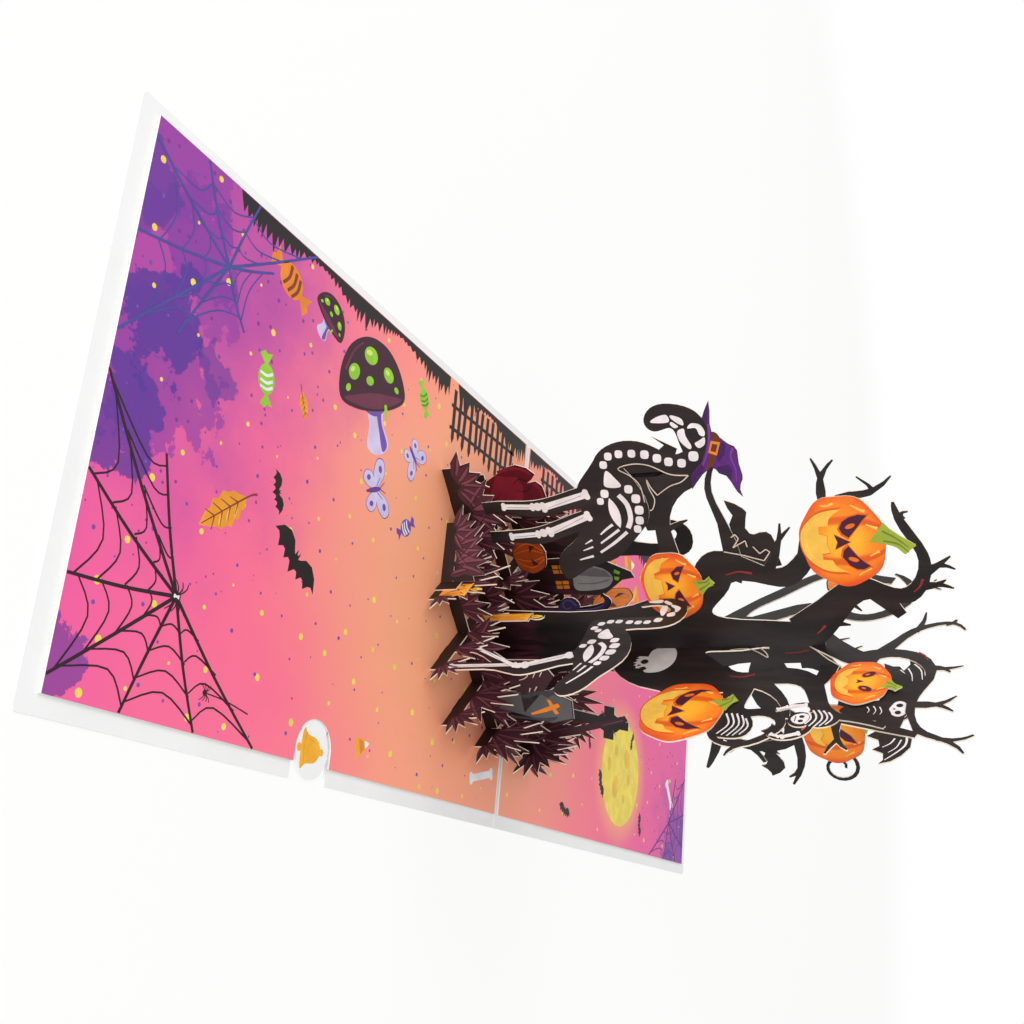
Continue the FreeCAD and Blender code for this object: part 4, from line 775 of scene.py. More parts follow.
printed("winged_strokes", "bone", ("P", 0), [
    stroke(line, w, w * 0.4) for line, w in (
        ([(67.6, 148.4), (71.6, 148.3), (75.4, 146.0), (78.6, 143.4)], 0.7), ([(68.6, 145.2), (71.0, 144.2), (72.8, 142.2)], 0.5),
        ([(69.2, 147.0), (72.8, 146.0), (75.2, 144.0)], 0.45), ([(30.2, 147.2), (33.6, 149.4), (38.8, 150.2)], 0.6),
        ([(32.6, 145.6), (36.0, 146.9), (39.6, 147.4)], 0.5), ([(33.4, 143.4), (35.4, 144.9)], 0.45),
        ([(51.4, 147.9), (54.8, 148.1), (58.4, 146.9)], 0.4), ([(53.2, 139.4), (55.4, 140.2), (57.0, 139.8)], 0.4),
        ([(52.8, 137.6), (55.0, 138.5), (57.0, 138.0)], 0.4), ([(53.2, 135.8), (54.8, 136.6), (56.2, 136.2)], 0.35))],
    -cardFace, 1)
printed("white_marks", "bone", ("P", 0), [
    soft([(12.2, 80.6), (14.2, 81.4), (15.2, 79.6), (13.2, 78.6)], 3), soft([(11.6, 75.4), (13.4, 75.8), (13.6, 74), (12, 73.6)], 3),
    soft([(13.4, 72), (14.8, 72.4), (15.0, 71), (13.6, 70.6)], 3)], cardFace, 1)

# cut edges of the front limbs, seen as cream lines
edgeLines = {
    ("P", 0): [[(32.2, 125.8), (27.6, 120.8), (22.4, 116.4), (19.0, 112.6), (17.8, 108), (18.4, 102), (19.8, 97.8)],
               [(20.2, 97.6), (23.6, 100.4), (26.4, 101.4), (23.4, 98), (20.8, 93.8), (21.4, 88)],
               [(12.0, 116.0), (9.0, 110.0), (5.0, 104.0)]],
    ("Q", -1): [[(-63.7, 85.2), (-64.5, 79.5), (-68.0, 73.4), (-69.0, 68.0), (-67.8, 62.8), (-65.0, 66.3), (-61.5, 68.9),
                 (-55.4, 69.3)],
                [(-63.7, 85.4), (-61.6, 82.6), (-60.4, 78.6), (-57.6, 74.0)],
                [(-57.6, 74.0), (-60.4, 72.4), (-63.2, 71.5), (-60.2, 71.7), (-56.2, 72.8), (-53.0, 71.6), (-52.4, 70.4)]],
}
for edgePlane, lines in edgeLines.items():
    lift = gluedFace if edgePlane[0] == "Q" else cardFace
    printed("edge_lines_" + edgePlane[0], "line", edgePlane, [stroke(line, 0.42, 0.3) for line in lines], lift, 2)
printed("bat_zigzag", "line", ("Q", -1), [
    stroke(pair, 0.42, 0.34, 1) for line in (
        [(-36.0, 91.8), (-34.4, 98.0), (-32.2, 104.2), (-35.2, 106.5), (-36.2, 105.3), (-34.8, 103.2), (-37.4, 101.4)],
        [(-37.4, 99.6), (-39.6, 99.3), (-38.4, 97.0), (-37.3, 95.0), (-40.4, 97.3), (-42.0, 96.4), (-41.0, 95.0)])
    for pair in zip(line, line[1:])],
    cardFace, 1)
redMarks = {("Q", -1): [[(-27.8, 99.6), (-28.6, 95.2), (-27.6, 91.0)], [(-23.6, 151.4), (-21.0, 150.2), (-19.2, 148.2)],
                        [(-8.0, 120.0), (-6.4, 118.6), (-5.0, 117.0)]],
            ("P", 0): [[(24.4, 148.0), (26.2, 150.0), (29.0, 151.2)], [(36.2, 99.2), (37.8, 95.4), (37.2, 91.2)],
                       [(22.2, 114.0), (23.4, 110.6), (23.8, 106.6)], [(11.0, 117.0), (13.0, 116.4), (14.6, 115.4)]]}
for redPlane, lines in redMarks.items():
    printed("red_marks_" + redPlane[0], "red", redPlane, [stroke(line, 0.9, 0.3) for line in lines], cardFace, 1)
print("printed figures done")


# Grass: a leaf printed along every leaf of the cut tufts, from points with their own turn and reach

grassPrint = {"thick": 0.035, "leafShare": 0.93, "widthShare": 0.95, "seed": 11}
# along the sheet, height, first and last angle, leaves, reach, waist
tufts = {
    ("Q", -1, "front_tree"): [
        (-66, 3, 20, 175, 6, 14, 0.6), (-56, 5, 35, 150, 5, 16, 0.6), (-46, 4, 30, 150, 5, 14, 0.6),
        (-34, 3, 20, 160, 5, 11), (-23, 2, 30, 150, 4, 13), (21, 2, 30, 150, 4, 13), (30, 2, 30, 150, 5, 17),
        (40, 2, 20, 150, 5, 15), (48, 2, 0, 120, 4, 10)],
    ("P", 0, "cross_tree"): [
        (-62, 2, 30, 180, 5, 13), (-50, 2, 30, 150, 5, 18), (-38, 2, 40, 140, 4, 13), (-27, 2, 30, 150, 5, 16),
        (-12, 2, 30, 150, 5, 15), (38, 3, 30, 120, 4, 17), (48, 3, 25, 140, 6, 21), (60, 2, 0, 130, 7, 12.5)],
    ("P", -1, "front_bird"): [
        (-46, 2, 20, 170, 5, 11), (-34, 2, 30, 150, 5, 14), (-14, 2, 30, 150, 4, 12), (3, 2, 30, 150, 5, 12),
        (27, 3, 30, 150, 5, 13), (39, 3, 40, 160, 5, 16), (50, 3, 50, 130, 4, 15), (60, 3, -10, 125, 7, 10.5)],
    ("P", 1, "rear_bush"): [
        (-58, 2, 30, 180, 5, 13), (-44, 2, 30, 150, 5, 16), (-30, 2, 30, 150, 5, 14), (-6, 2, 30, 150, 5, 13),
        (12, 2, 30, 150, 4, 13), (28, 3, 30, 150, 5, 22), (42, 3, 30, 140, 6, 23), (49, 3, 0, 120, 6, 12)],
    ("P", -2, "front_fin"): [
        (-26, 2, 20, 170, 5, 10), (-12, 2, 30, 150, 5, 11), (8, 2, 30, 150, 4, 10), (26, 2, 30, 150, 5, 12),
        (40, 3, 35, 130, 5, 21), (49, 3, -10, 130, 6, 9)],
    ("P", 2, "rear_fin"): [
        (-48, 2, 30, 180, 5, 11), (-32, 2, 30, 150, 5, 16), (-12, 2, 30, 150, 5, 13), (4, 2, 30, 150, 5, 17),
        (16, 3, 30, 140, 6, 24), (25, 8, -20, 130, 8, 18)],
    ("Q", 0, "middle"): [
        (-46, 2, 30, 150, 5, 13), (-34, 2, 30, 150, 4, 11), (-12, 2, 30, 150, 5, 18), (8, 2, 30, 150, 5, 15),
        (28, 2, 30, 150, 5, 20), (45, 2, 30, 150, 6, 17), (55, 2, 0, 140, 5, 11)],
    ("Q", 1, "rear_house"): [
        (-46, 2, 30, 170, 5, 12), (-34, 2, 30, 150, 5, 16), (16, 2, 30, 150, 5, 18), (30, 2, 30, 150, 5, 14),
        (46, 2, 30, 150, 6, 19), (60, 2, 0, 140, 6, 13)],
    ("Q", -2, "front_strip"): [
        (-30, 3, 40, 150, 5, 14), (-14, 3, 30, 150, 5, 17), (-4, 3, 60, 150, 4, 15), (12, 3, 30, 150, 5, 12),
        (25, 3, 20, 140, 6, 13)],
    ("Q", 2, "rear_strip"): [
        (-26, 3, 40, 160, 6, 13), (-12, 3, 30, 150, 5, 12), (4, 3, 60, 150, 4, 15), (22, 3, 30, 150, 5, 17),
        (35, 3, 20, 140, 5, 13)],
}


def newTree(name, inputs):
    tree = bpy.data.node_groups.new(name, "GeometryNodeTree")
    tree.interface.new_socket("Geometry", in_out="INPUT", socket_type="NodeSocketGeometry")
    tree.interface.new_socket("Geometry", in_out="OUTPUT", socket_type="NodeSocketGeometry")
    for label, kind, value in inputs:
        socket = tree.interface.new_socket(label, in_out="INPUT", socket_type="NodeSocket" + kind)
        if value is not None:
            socket.default_value = value
    return tree, tree.nodes.new("NodeGroupInput"), tree.nodes.new("NodeGroupOutput")


def gathered(tree, geometry, group, output):
    # the end of each tree: instances made real and given their material
    real = tree.nodes.new("GeometryNodeRealizeInstances")
    finish = tree.nodes.new("GeometryNodeSetMaterial")
    tree.links.new(geometry, real.inputs[0])
    tree.links.new(real.outputs[0], finish.inputs[0])
    tree.links.new(group.outputs["Material"], finish.inputs["Material"])
    tree.links.new(finish.outputs[0], output.inputs[0])


def madeByTree(name, tree, mesh, values, matrix):
    # runs a tree on a mesh, keeps the result as a plain mesh and puts it in place
    carrier = bpy.data.objects.new(name + "_points", mesh)
    bpy.context.scene.collection.objects.link(carrier)
    modifier = carrier.modifiers.new("nodes", "NODES")
    modifier.node_group = tree
    for item in tree.interface.items_tree:
        if item.item_type == "SOCKET" and item.in_out == "INPUT" and item.name in values:
            modifier[item.identifier] = values[item.name]
    result = bpy.data.meshes.new_from_object(carrier.evaluated_get(bpy.context.evaluated_depsgraph_get()))
    carrier.modifiers.remove(modifier)
    bpy.data.objects.remove(carrier)
    result.transform(matrix)
    piece = bpy.data.objects.new(name, result)
    bpy.context.scene.collection.objects.link(piece)
    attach(piece, "card")
    return piece


def attributeNode(tree, name, kind="FLOAT"):
    step = tree.nodes.new("GeometryNodeInputNamedAttribute")
    step.data_type = kind
    step.inputs["Name"].default_value = name
    return step.outputs["Attribute"]


def leafTree():
    # a pointed leaf on every point, turned and stretched by the point's attributes
    tree, group, output = newTree("printed_leaves", [
        ("Thickness", "Float", 0.035), ("Point Sharpness", "Float", 0.8), ("Material", "Material", None)])
    body = tree.nodes.new("GeometryNodeMeshCube")
    body.inputs["Vertices X"].default_value = 8
    place = tree.nodes.new("GeometryNodeInputPosition")
    axes = tree.nodes.new("ShaderNodeSeparateXYZ")
    tree.links.new(place.outputs[0], axes.inputs[0])
    along = calc(tree, "ADD", axes.outputs[0], 0.5)
    belly = calc(tree, "SINE", calc(tree, "MULTIPLY", calc(tree, "POWER", along, 0.75), math.pi))
    belly = calc(tree, "POWER", calc(tree, "MAXIMUM", belly, 0.0), group.outputs["Point Sharpness"])
    belly = calc(tree, "MAXIMUM", belly, 0.03)
    put = tree.nodes.new("ShaderNodeCombineXYZ")
    tree.links.new(along, put.inputs[0])
    tree.links.new(calc(tree, "MULTIPLY", axes.outputs[1], belly), put.inputs[1])
    tree.links.new(axes.outputs[2], put.inputs[2])
    shaped = tree.nodes.new("GeometryNodeSetPosition")
    tree.links.new(body.outputs["Mesh"], shaped.inputs["Geometry"])
    tree.links.new(put.outputs[0], shaped.inputs["Position"])
    turn = tree.nodes.new("ShaderNodeCombineXYZ")
    tree.links.new(attributeNode(tree, "turn"), turn.inputs[2])
    size = tree.nodes.new("ShaderNodeCombineXYZ")
    tree.links.new(attributeNode(tree, "reach"), size.inputs[0])
    tree.links.new(attributeNode(tree, "wide"), size.inputs[1])
    tree.links.new(group.outputs["Thickness"], size.inputs[2])
    spread = tree.nodes.new("GeometryNodeInstanceOnPoints")
    tree.links.new(group.outputs["Geometry"], spread.inputs["Points"])
    tree.links.new(shaped.outputs[0], spread.inputs["Instance"])
    tree.links.new(turn.outputs[0], spread.inputs["Rotation"])
    tree.links.new(size.outputs[0], spread.inputs["Scale"])
    gathered(tree, spread.outputs[0], group, output)
    return tree


def pointMesh(name, rows):
    # rows of (u, z, out, turn, reach, wide) as points with attributes
    mesh = bpy.data.meshes.new(name)
    mesh.from_pydata([row[:3] for row in rows], [], [])
    for i, label in enumerate(("turn", "reach", "wide")):
        mesh.attributes.new(label, "FLOAT", "POINT").data.foreach_set("value", [row[3 + i] for row in rows])
    return mesh


def leafRows(tuftRows, lift, dice, reachEnd=200.0):
    # broad leaves, then their lit halves and midribs, all inside the cut leaves
    broad, lit, ribs = [], [], []
    for tuft in tuftRows:
        u, z, start, stop, count, reach = tuft[:6]
        waist = tuft[6] if len(tuft) > 6 else 0.5
        step = (stop - start) / count
        for i in range(count):
            tip = reach * (1.0 - 0.2 * abs(math.sin(1.9 * i + count)))
            angle = math.radians(start + (i + 0.45) * step)
            foot = tip * dice.uniform(0.08, 0.2)
            length = tip * grassPrint["leafShare"] - foot
            wide = waist * reach * math.radians(step) * grassPrint["widthShare"]
            c, s = math.cos(angle), math.sin(angle)
            if z + foot * s < 0.6 or u + tip * c > reachEnd:
                continue
            out = lift + math.copysign(overlapStep * (len(broad) % 12), lift)
            broad.append((u + foot * c, z + foot * s, out, angle, length, wide))
            lean = angle + dice.uniform(-0.02, 0.02)
            side = wide * 0.13 * dice.choice((-1, 1))
            rise = math.copysign(inkThick, lift)
            lit.append((u + foot * c * 1.6 - s * side, z + foot * s * 1.6 + c * side, out + rise, lean, length * 0.8,
                        wide * dice.uniform(0.3, 0.46)))
            ribs.append((u + foot * c * 1.3, z + foot * s * 1.3, out + 2 * rise, angle, length * 0.86, 0.34))
    return broad, lit, ribs


def buildGrass():
    tree = leafTree()
    dice = random.Random(grassPrint["seed"])
    for (kind, step, name), rows in tufts.items():
        matrix = planeMatrix((kind, step))
        for side, front in (("front", 1), ("back", -1)):
            layers = leafRows(rows, front * cardFace, dice)
            for (label, tone), points in zip((("leaves", "blade"), ("lit", "bladeLight"), ("ribs", "bladeDark")), layers):
                madeByTree("%s_%s_%s" % (name, side, label), tree, pointMesh(name, points),
                           {"Thickness": grassPrint["thick"], "Material": ink(tone)}, matrix)


def buildClumpGrass():
    # the folded clump stands along the fold's direction, in front of the others
    matrix = Matrix(((mm, 0, 0, 0), (0, 0, -mm, clump["front"] * mm), (0, mm, 0, floorTop), (0, 0, 0, 1)))
    tree = leafTree()
    layers = leafRows(clump["tufts"], 0.0001, random.Random(7), 0.2)
    for (label, tone), points in zip((("leaves", "blade"), ("lit", "bladeLight"), ("ribs", "bladeDark")), layers):
        madeByTree("clump_" + label, tree, pointMesh("clump", points),
                   {"Thickness": grassPrint["thick"], "Material": ink(tone)}, matrix)


clump = {"front": -57.83, "tufts": [(-17.4, 3, 20, 180, 6, 10, 0.6), (-11.4, 4, 30, 140, 5, 13, 0.6),
                                   (-5.4, 4, 40, 150, 5, 15, 0.6), (-1.4, 2, 60, 120, 2, 11)]}
buildGrass()
buildClumpGrass()
print("grass done")


# Base: a sunset wash on the liners

wash = {
    "near": [(0.0, "#f39a78"), (0.28, "#fba07c"), (0.45, "#fb8886"), (0.68, "#f96f93"), (1.0, "#ef5b9c")],
    "far": [(0.0, "#f79a7c"), (0.3, "#f57a86"), (0.6, "#ef5f94"), (1.0, "#e250a0")],
    "glow": "#f7b083", "halo": "#f8b06c", "violet": "#9f3aa2", "splash": "#4f2c93", "smear": "#7a2f9c", "speckle": "#6a2c86",
}
# where the torn splashes lie: x, y, size in mm, tone and strength
splashes = {
    "near": [(-70, -214, 24, "smear", 0.5), (-46, -200, 15, "smear", 0.7), (-8, -204, 20, "smear", 0.6),
             (-34, -190, 9, "smear", 0.5), (-24, -205, 14, "splash", 0.85), (4, -212, 13, "splash", 0.8),
             (-52, -219, 12, "splash", 0.6), (62, -221, 9, "splash", 0.7), (-20, -186, 6, "splash", 0.6)],
    "far": [(72, 218, 20, "smear", 0.6), (60, 200, 9, "smear", 0.5), (73, 196, 7, "splash", 0.6),
            (60, 222, 8, "splash", 0.6)],
}


def ramp(tree, value, stops):
    step = tree.nodes.new("ShaderNodeValToRGB")
    tree.links.new(value, step.inputs[0])
    while len(step.color_ramp.elements) < len(stops):
        step.color_ramp.elements.new(0.5)
    for element, (at, code) in zip(step.color_ramp.elements, stops):
        element.position = at
        element.color = rgba(code)
    return step.outputs[0]


def fromPoint(tree, axes, x, y):
    dx = calc(tree, "SUBTRACT", axes.outputs[0], x)
    dy = calc(tree, "SUBTRACT", axes.outputs[1], y)
    return calc(tree, "SQRT", calc(tree, "ADD", calc(tree, "MULTIPLY", dx, dx), calc(tree, "MULTIPLY", dy, dy)))


def linerPrint(name, side, corner, glow):
    material = newMaterial(name)
    tree = material.node_tree
    place = stretched(tree, tree.nodes.new("ShaderNodeTexCoord").outputs["Object"], (1 / mm, 1 / mm, 1 / mm))
    axes = tree.nodes.new("ShaderNodeSeparateXYZ")
    tree.links.new(place, axes.inputs[0])
    away = calc(tree, "MULTIPLY", axes.outputs[1], (1 if side == "far" else -1) / 225.0)
    cloud = noise(tree, place, 0.02, 4.0)
    away = calc(tree, "ADD", away, calc(tree, "MULTIPLY", calc(tree, "SUBTRACT", cloud, 0.5), 0.25))
    colour = ramp(tree, away, wash[side])
    near = between(tree, fromPoint(tree, axes, *glow), 85.0, 10.0)
    colour = blendInk(tree, calc(tree, "MULTIPLY", near, 0.7), colour, wash["glow"])
    if side == "far":
        halo = between(tree, fromPoint(tree, axes, 38.0, 124.0), 36.0, 21.0)
        colour = blendInk(tree, calc(tree, "MULTIPLY", halo, 0.65), colour, wash["halo"])
    ragged = calc(tree, "MULTIPLY", calc(tree, "SUBTRACT", noise(tree, place, 0.035, 5.0), 0.5), 80.0)
    reach = calc(tree, "ADD", fromPoint(tree, axes, *corner), ragged)
    widest = 120.0 if side == "near" else 62.0
    colour = blendInk(tree, calc(tree, "MULTIPLY", between(tree, reach, widest, widest * 0.25), 0.85), colour, wash["violet"])
    torn = calc(tree, "MULTIPLY", calc(tree, "SUBTRACT", noise(tree, place, 0.07, 6.0, 0.62), 0.5), 44.0)
    for x, y, radius, tone, share in splashes[side]:
        edge = calc(tree, "ADD", fromPoint(tree, axes, x, y), torn)
        wet = calc(tree, "MULTIPLY", between(tree, edge, radius + 0.5, radius - 0.5), share)
        colour = blendInk(tree, wet, colour, wash[tone])
    speckle = tree.nodes.new("ShaderNodeTexVoronoi")
    speckle.inputs["Scale"].default_value = 0.22
    tree.links.new(place, speckle.inputs["Vector"])
    size = calc(tree, "MULTIPLY", between(tree, reach, 150.0, 60.0), 0.14)
    dots = calc(tree, "LESS_THAN", speckle.outputs["Distance"], size)
    colour = blendInk(tree, calc(tree, "MULTIPLY", dots, 0.8), colour, wash["speckle"])
    normal = tree.nodes.new("ShaderNodeTexCoord").outputs["Normal"]
    up = tree.nodes.new("ShaderNodeSeparateXYZ")
    tree.links.new(normal, up.inputs[0])
    colour = blendInk(tree, calc(tree, "GREATER_THAN", up.outputs[2], 0.7), "#efeae6", colour)
    return paperFinish(material, colour, 0.42, 0.15)


def plainCard(name, code, roughness=0.6):
    material = newMaterial(name)
    tree = material.node_tree
    place = tree.nodes.new("ShaderNodeTexCoord").outputs["Object"]
    tone = between(tree, noise(tree, place, 60.0, 5.0), 0.2, 0.8)
    base = rgba(code)
    colour = blendInk(tree, tone, [c * 0.96 for c in base[:3]] + [1.0], base)
    return paperFinish(material, colour, roughness, 0.35)


for node, material in (
        ("near_liner", linerPrint("near_liner_print", "near", (-66.0, -222.0), (4.0, -76.0))),
        ("far_liner", linerPrint("far_liner_print", "far", (75.0, 225.0), (10.0, 10.0))),
        ("cover", plainCard("white_cover_card", "#f1f1f1")), ("pull_slip", plainCard("white_slip_card", "#f3f3f3")),
        ("near_adhesive", plainCard("mounting_sheet_near", "#dedcd6", 0.8)),
        ("far_adhesive", plainCard("mounting_sheet_far", "#dedcd6", 0.8)),
        ("front_clump", blackCard("front_clump_card", "fold", True))):
    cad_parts[node].data.materials.clear()
    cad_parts[node].data.materials.append(material)
print("base done")


# Base print: figures lying on the liners, u along x and z along y

nearLow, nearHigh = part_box("near_liner")
farLow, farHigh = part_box("far_liner")
edgeLeft, edgeRight = nearLow.x / mm + 0.2, nearHigh.x / mm - 0.2
edgeNear, edgeFar = nearLow.y / mm + 0.2, farHigh.y / mm - 0.2


def onBase(name, inkName, rings, layer=1):
    return printed(name, inkName, "liner", rings, 0.0, layer)


def batRing(centre, span, turn=0.0):
    wing = [(0.05, 0.12), (0.16, 0.2), (0.3, 0.36), (0.55, 0.42), (0.8, 0.3), (1.0, 0.02), (0.84, 0.06), (0.74, -0.02),
            (0.64, -0.2), (0.52, -0.06), (0.42, -0.06), (0.32, -0.24), (0.22, -0.1), (0.12, -0.12), (0.0, -0.34)]
    ears = [(0.02, 0.2), (0.06, 0.32), (0.08, 0.14)]
    right = ears + wing[1:]
    ring = right + [(-x, y) for x, y in right[::-1] if x > 0.0]
    return moved([(x * span / 2, y * span / 2) for x, y in ring], centre, 1.0, turn)


def silhouettes(side, start, stop, seed, deepest):
    # dark bushes along the left edge, as one jagged outline
    dice = random.Random(seed)
    ring = [(edgeLeft, start)]
    y = start
    while y > stop if stop < start else y < stop:
        step = dice.uniform(1.2, 3.4) * (-1 if stop < start else 1)
        swell = 0.55 + 0.45 * math.sin(y * 0.13 + seed)
        ring.append((edgeLeft + dice.uniform(0.62, 1.0) * deepest * swell + 1.5, y))
        ring.append((edgeLeft + dice.uniform(0.25, 0.5) * deepest * swell + 1.0, y + step * 0.5))
        y += step
    ring.append((edgeLeft, y))
    return ring


def fence(start, count, pitch, length, seed):
    dice = random.Random(seed)
    rings = []
    for i in range(count):
        y = start - i * pitch
        tip = edgeLeft + length + dice.uniform(-3.0, 2.0)
        lean = dice.uniform(-0.8, 0.8)
        rings.append([(edgeLeft + 3, y - 1.0), (tip - 2, y - 1.0 + lean), (tip, y + lean), (tip - 2, y + 1.0 + lean),
                      (edgeLeft + 3, y + 1.0)])
    for at in (0.35, 0.72):
        x = edgeLeft + length * at
        rings.append([(x, start + 2), (x + 1.3, start + 2), (x + 2.2, start - (count - 1) * pitch - 2),
                      (x + 0.9, start - (count - 1) * pitch - 2)])
    return rings


def buildWeb(name, inkName, centre, ends, rings, sag, width, centreOut=0.0):
    # spokes from the centre to the ends, with sagging threads between neighbours
    spokes = [stroke([centre, ((centre[0] + e[0]) / 2 + 0.6, (centre[1] + e[1]) / 2 - 0.5), e], width * 1.3, width)
              for e in ends]
    threads = []
    for share in rings:
        for a, b in zip(ends, ends[1:]):
            p = [centre[k] + (a[k] - centre[k]) * share for k in (0, 1)]
            q = [centre[k] + (b[k] - centre[k]) * share * 0.96 for k in (0, 1)]
            mid = [(p[k] + q[k]) / 2 * (1 - sag) + centre[k] * sag for k in (0, 1)]
            threads.append(stroke([tuple(p), tuple(mid), tuple(q)], width * 0.7, width * 0.55))
    onBase(name + "_spokes", inkName, spokes, 2)
    onBase(name + "_threads", inkName, threads, 1)


def spider(name, at, size, inkName, mark):
    legs = []
    for side in (-1, 1):
        for k, lift in enumerate((1.5, 0.6, -0.4, -1.4)):
            knee = (at[0] + side * size * 0.9, at[1] + size * (lift * 0.6 + 0.35))
            legs.append(stroke([at, knee, (at[0] + side * size * 1.6, at[1] + size * lift)], size * 0.16, size * 0.08))
    onBase(name, inkName, legs + [oval(at[0], at[1], size * 0.5, size * 0.62)], 3)
    onBase(name + "_mark", mark, [bone((at[0], at[1] - size * 0.3), (at[0], at[1] + size * 0.3), size * 0.16, 0.8)], 4)


def mushroom(name, at, turn, scale):
    put = lambda ring: moved(ring, at, scale, turn)
    onBase(name + "_stem", "lavender", [put(soft([(-4.6, -2), (-4.0, -9), (-6.4, -15.5), (-3, -18.4), (3, -18.4), (6.6, -15.5),
                                                   (4.2, -9), (4.8, -2)]))], 1)
    onBase(name + "_stem_shade", "violetSoft", [put(soft([(0.8, -3), (1.4, -10), (2.4, -17.6), (5.6, -15.6), (3.4, -9), (3.8, -3)])),
                                                 put(soft([(-5.2, -5), (0, -6.6), (5.2, -5), (4.6, -2.6), (-4.6, -2.6)]))], 2)
    onBase(name + "_cap", "mushroom", [put(soft([(-19.4, -0.6), (-17.6, 8.4), (-10.6, 15.8), (0, 18.6), (10.6, 15.8),
                                                  (17.6, 8.4), (19.4, -0.6), (12, -4), (0, -5), (-12, -4)]))], 3)
    onBase(name + "_gills", "mushroomLight", [put(soft([(-17.4, -1), (-9, -3.4), (0, -4.3), (9, -3.4), (17.4, -1), (9, 0.2),
                                                        (0, 0.8), (-9, 0.2)]))], 4)
    onBase(name + "_spots", "lime", [put(oval(*o)) for o in (
        (-10.4, 7.2, 3.3, 2.5, 20), (0.4, 12.6, 3.9, 2.9, -6), (10.2, 6.8, 3.1, 2.4, -28), (-1.6, 4.6, 2.2, 1.5, 0),
        (-14.6, 2.2, 1.5, 1.1, 30), (14.4, 2.0, 1.4, 1.0, -30))]
        + [put(soft([(6.0, -3.0), (7.4, -3.2), (7.2, -6.4), (6.4, -7.4), (5.8, -6)]))], 4)
    onBase(name + "_glow", "limeLight", [put(oval(*o)) for o in (
        (-11.2, 7.9, 1.3, 0.8, 20), (-0.6, 13.5, 1.7, 0.9, -6), (9.6, 7.6, 1.2, 0.8, -28))], 5)
    onBase(name + "_shine", "mushroomLight", [put(stroke([(-15.4, 7.6), (-9.6, 13.6), (-3.4, 16.6)], 1.2, 0.4))], 4)


def sweet(name, at, turn, scale, body, stripe):
    put = lambda ring: moved(ring, at, scale, turn)
    onBase(name + "_wrap", body, [put([(4, 0), (8.6, 3.2), (8.0, 0.6), (9.2, -0.8), (8.2, -3.2)]),
                                  put([(-4, 0), (-8.6, 3.0), (-8.2, 0.4), (-9.2, -1.0), (-8.0, -3.4)])], 1)
    onBase(name + "_body", body, [put(oval(0, 0, 5.0, 4.2))], 2)
    onBase(name + "_stripes", stripe, [put(stroke([(-2.2 + d, 3.2), (-1.2 + d, 0), (-2.0 + d, -3.2)], 1.1, 0.8))
                                       for d in (0.0, 2.4, 4.4)], 3)


def moth(name, at, turn, scale):
    put = lambda ring: moved(ring, at, scale, turn)
    wings = [soft([(0.6, 1), (5, 7), (10.4, 7.6), (11.6, 3.4), (7, -0.2), (0.8, -0.4)]),
             soft([(0.8, -0.6), (6.4, -1.4), (8.2, -5.6), (5.2, -8.4), (2.0, -5.6)])]
    pair = wings + [[(-x, y) for x, y in ring] for ring in wings]
    onBase(name + "_rim", "lavenderDark", [put(grownRing(ring, 0.07)) for ring in pair], 1)
    onBase(name + "_wings", "lavender", [put(ring) for ring in pair], 2)
    onBase(name + "_marks", "violetSoft", [put(oval(side * 7.6, 4.6, 1.5, 1.2)) for side in (-1, 1)]
           + [put(oval(side * 5.2, -4.6, 1.1, 1.4)) for side in (-1, 1)]
           + [put(stroke([(side * 1.4, 0.6), (side * 4.4, 4.0)], 0.5, 0.2)) for side in (-1, 1)], 3)
    onBase(name + "_body", "lavenderDark", [put(soft([(0, 3.6), (1.1, 0), (0.6, -6), (0, -7.4), (-0.6, -6), (-1.1, 0)])),
                                            put(stroke([(0.2, 3), (2.2, 6.8)], 0.35, 0.2)),
                                            put(stroke([(-0.2, 3), (-2.2, 6.8)], 0.35, 0.2))], 4)


def leafPrint(name, at, turn, scale):
    put = lambda ring: moved(ring, at, scale, turn)
    onBase(name, "leaf", [put([(-10, 0), (-7.6, 2.6), (-6.4, 2.2), (-4.6, 4.2), (-3.0, 3.6), (-0.6, 5.0), (0.6, 4.0), (3.4, 4.0),
                                (4.6, 2.8), (7.2, 2.0), (11, 0), (7.0, -2.4), (5.0, -2.4), (3.2, -4.2), (1.0, -3.6),
                                (-1.6, -4.8), (-3.4, -3.6), (-5.6, -3.4), (-7.4, -1.8)])], 1)
    veins = [stroke([(-14.5, 0.8), (-10, 0), (10, 0)], 0.7, 0.25)]
    veins += [stroke([(x, 0), (x + 2.6, side * (3.4 - abs(x) * 0.16))], 0.4, 0.2) for x in (-6, -2.5, 1, 4.4) for side in (-1, 1)]
    onBase(name + "_veins", "leafVein", [put(v) for v in veins], 2)
    onBase(name + "_light", "leafLight", [put(almond((x, 0.5), (x + 2.2, 3.2), 0.9)) for x in (-5.2, -1.6, 1.8)], 2)


def candyCorn(name, at, turn, scale):
    put = lambda ring: moved(ring, at, scale, turn)
    onBase(name, "bell", [put(soft([(-5, -6), (5, -6), (4.4, -2.4), (0, 7.4), (-4.4, -2.4)]))], 1)
    onBase(name + "_middle", "sweet", [put([(-4.4, -2.6), (4.4, -2.6), (2.0, 2.4), (-2.0, 2.4)])], 2)
    onBase(name + "_tip", "white", [put(soft([(-1.9, 2.6), (1.9, 2.6), (0, 7.0)], 4))], 2)


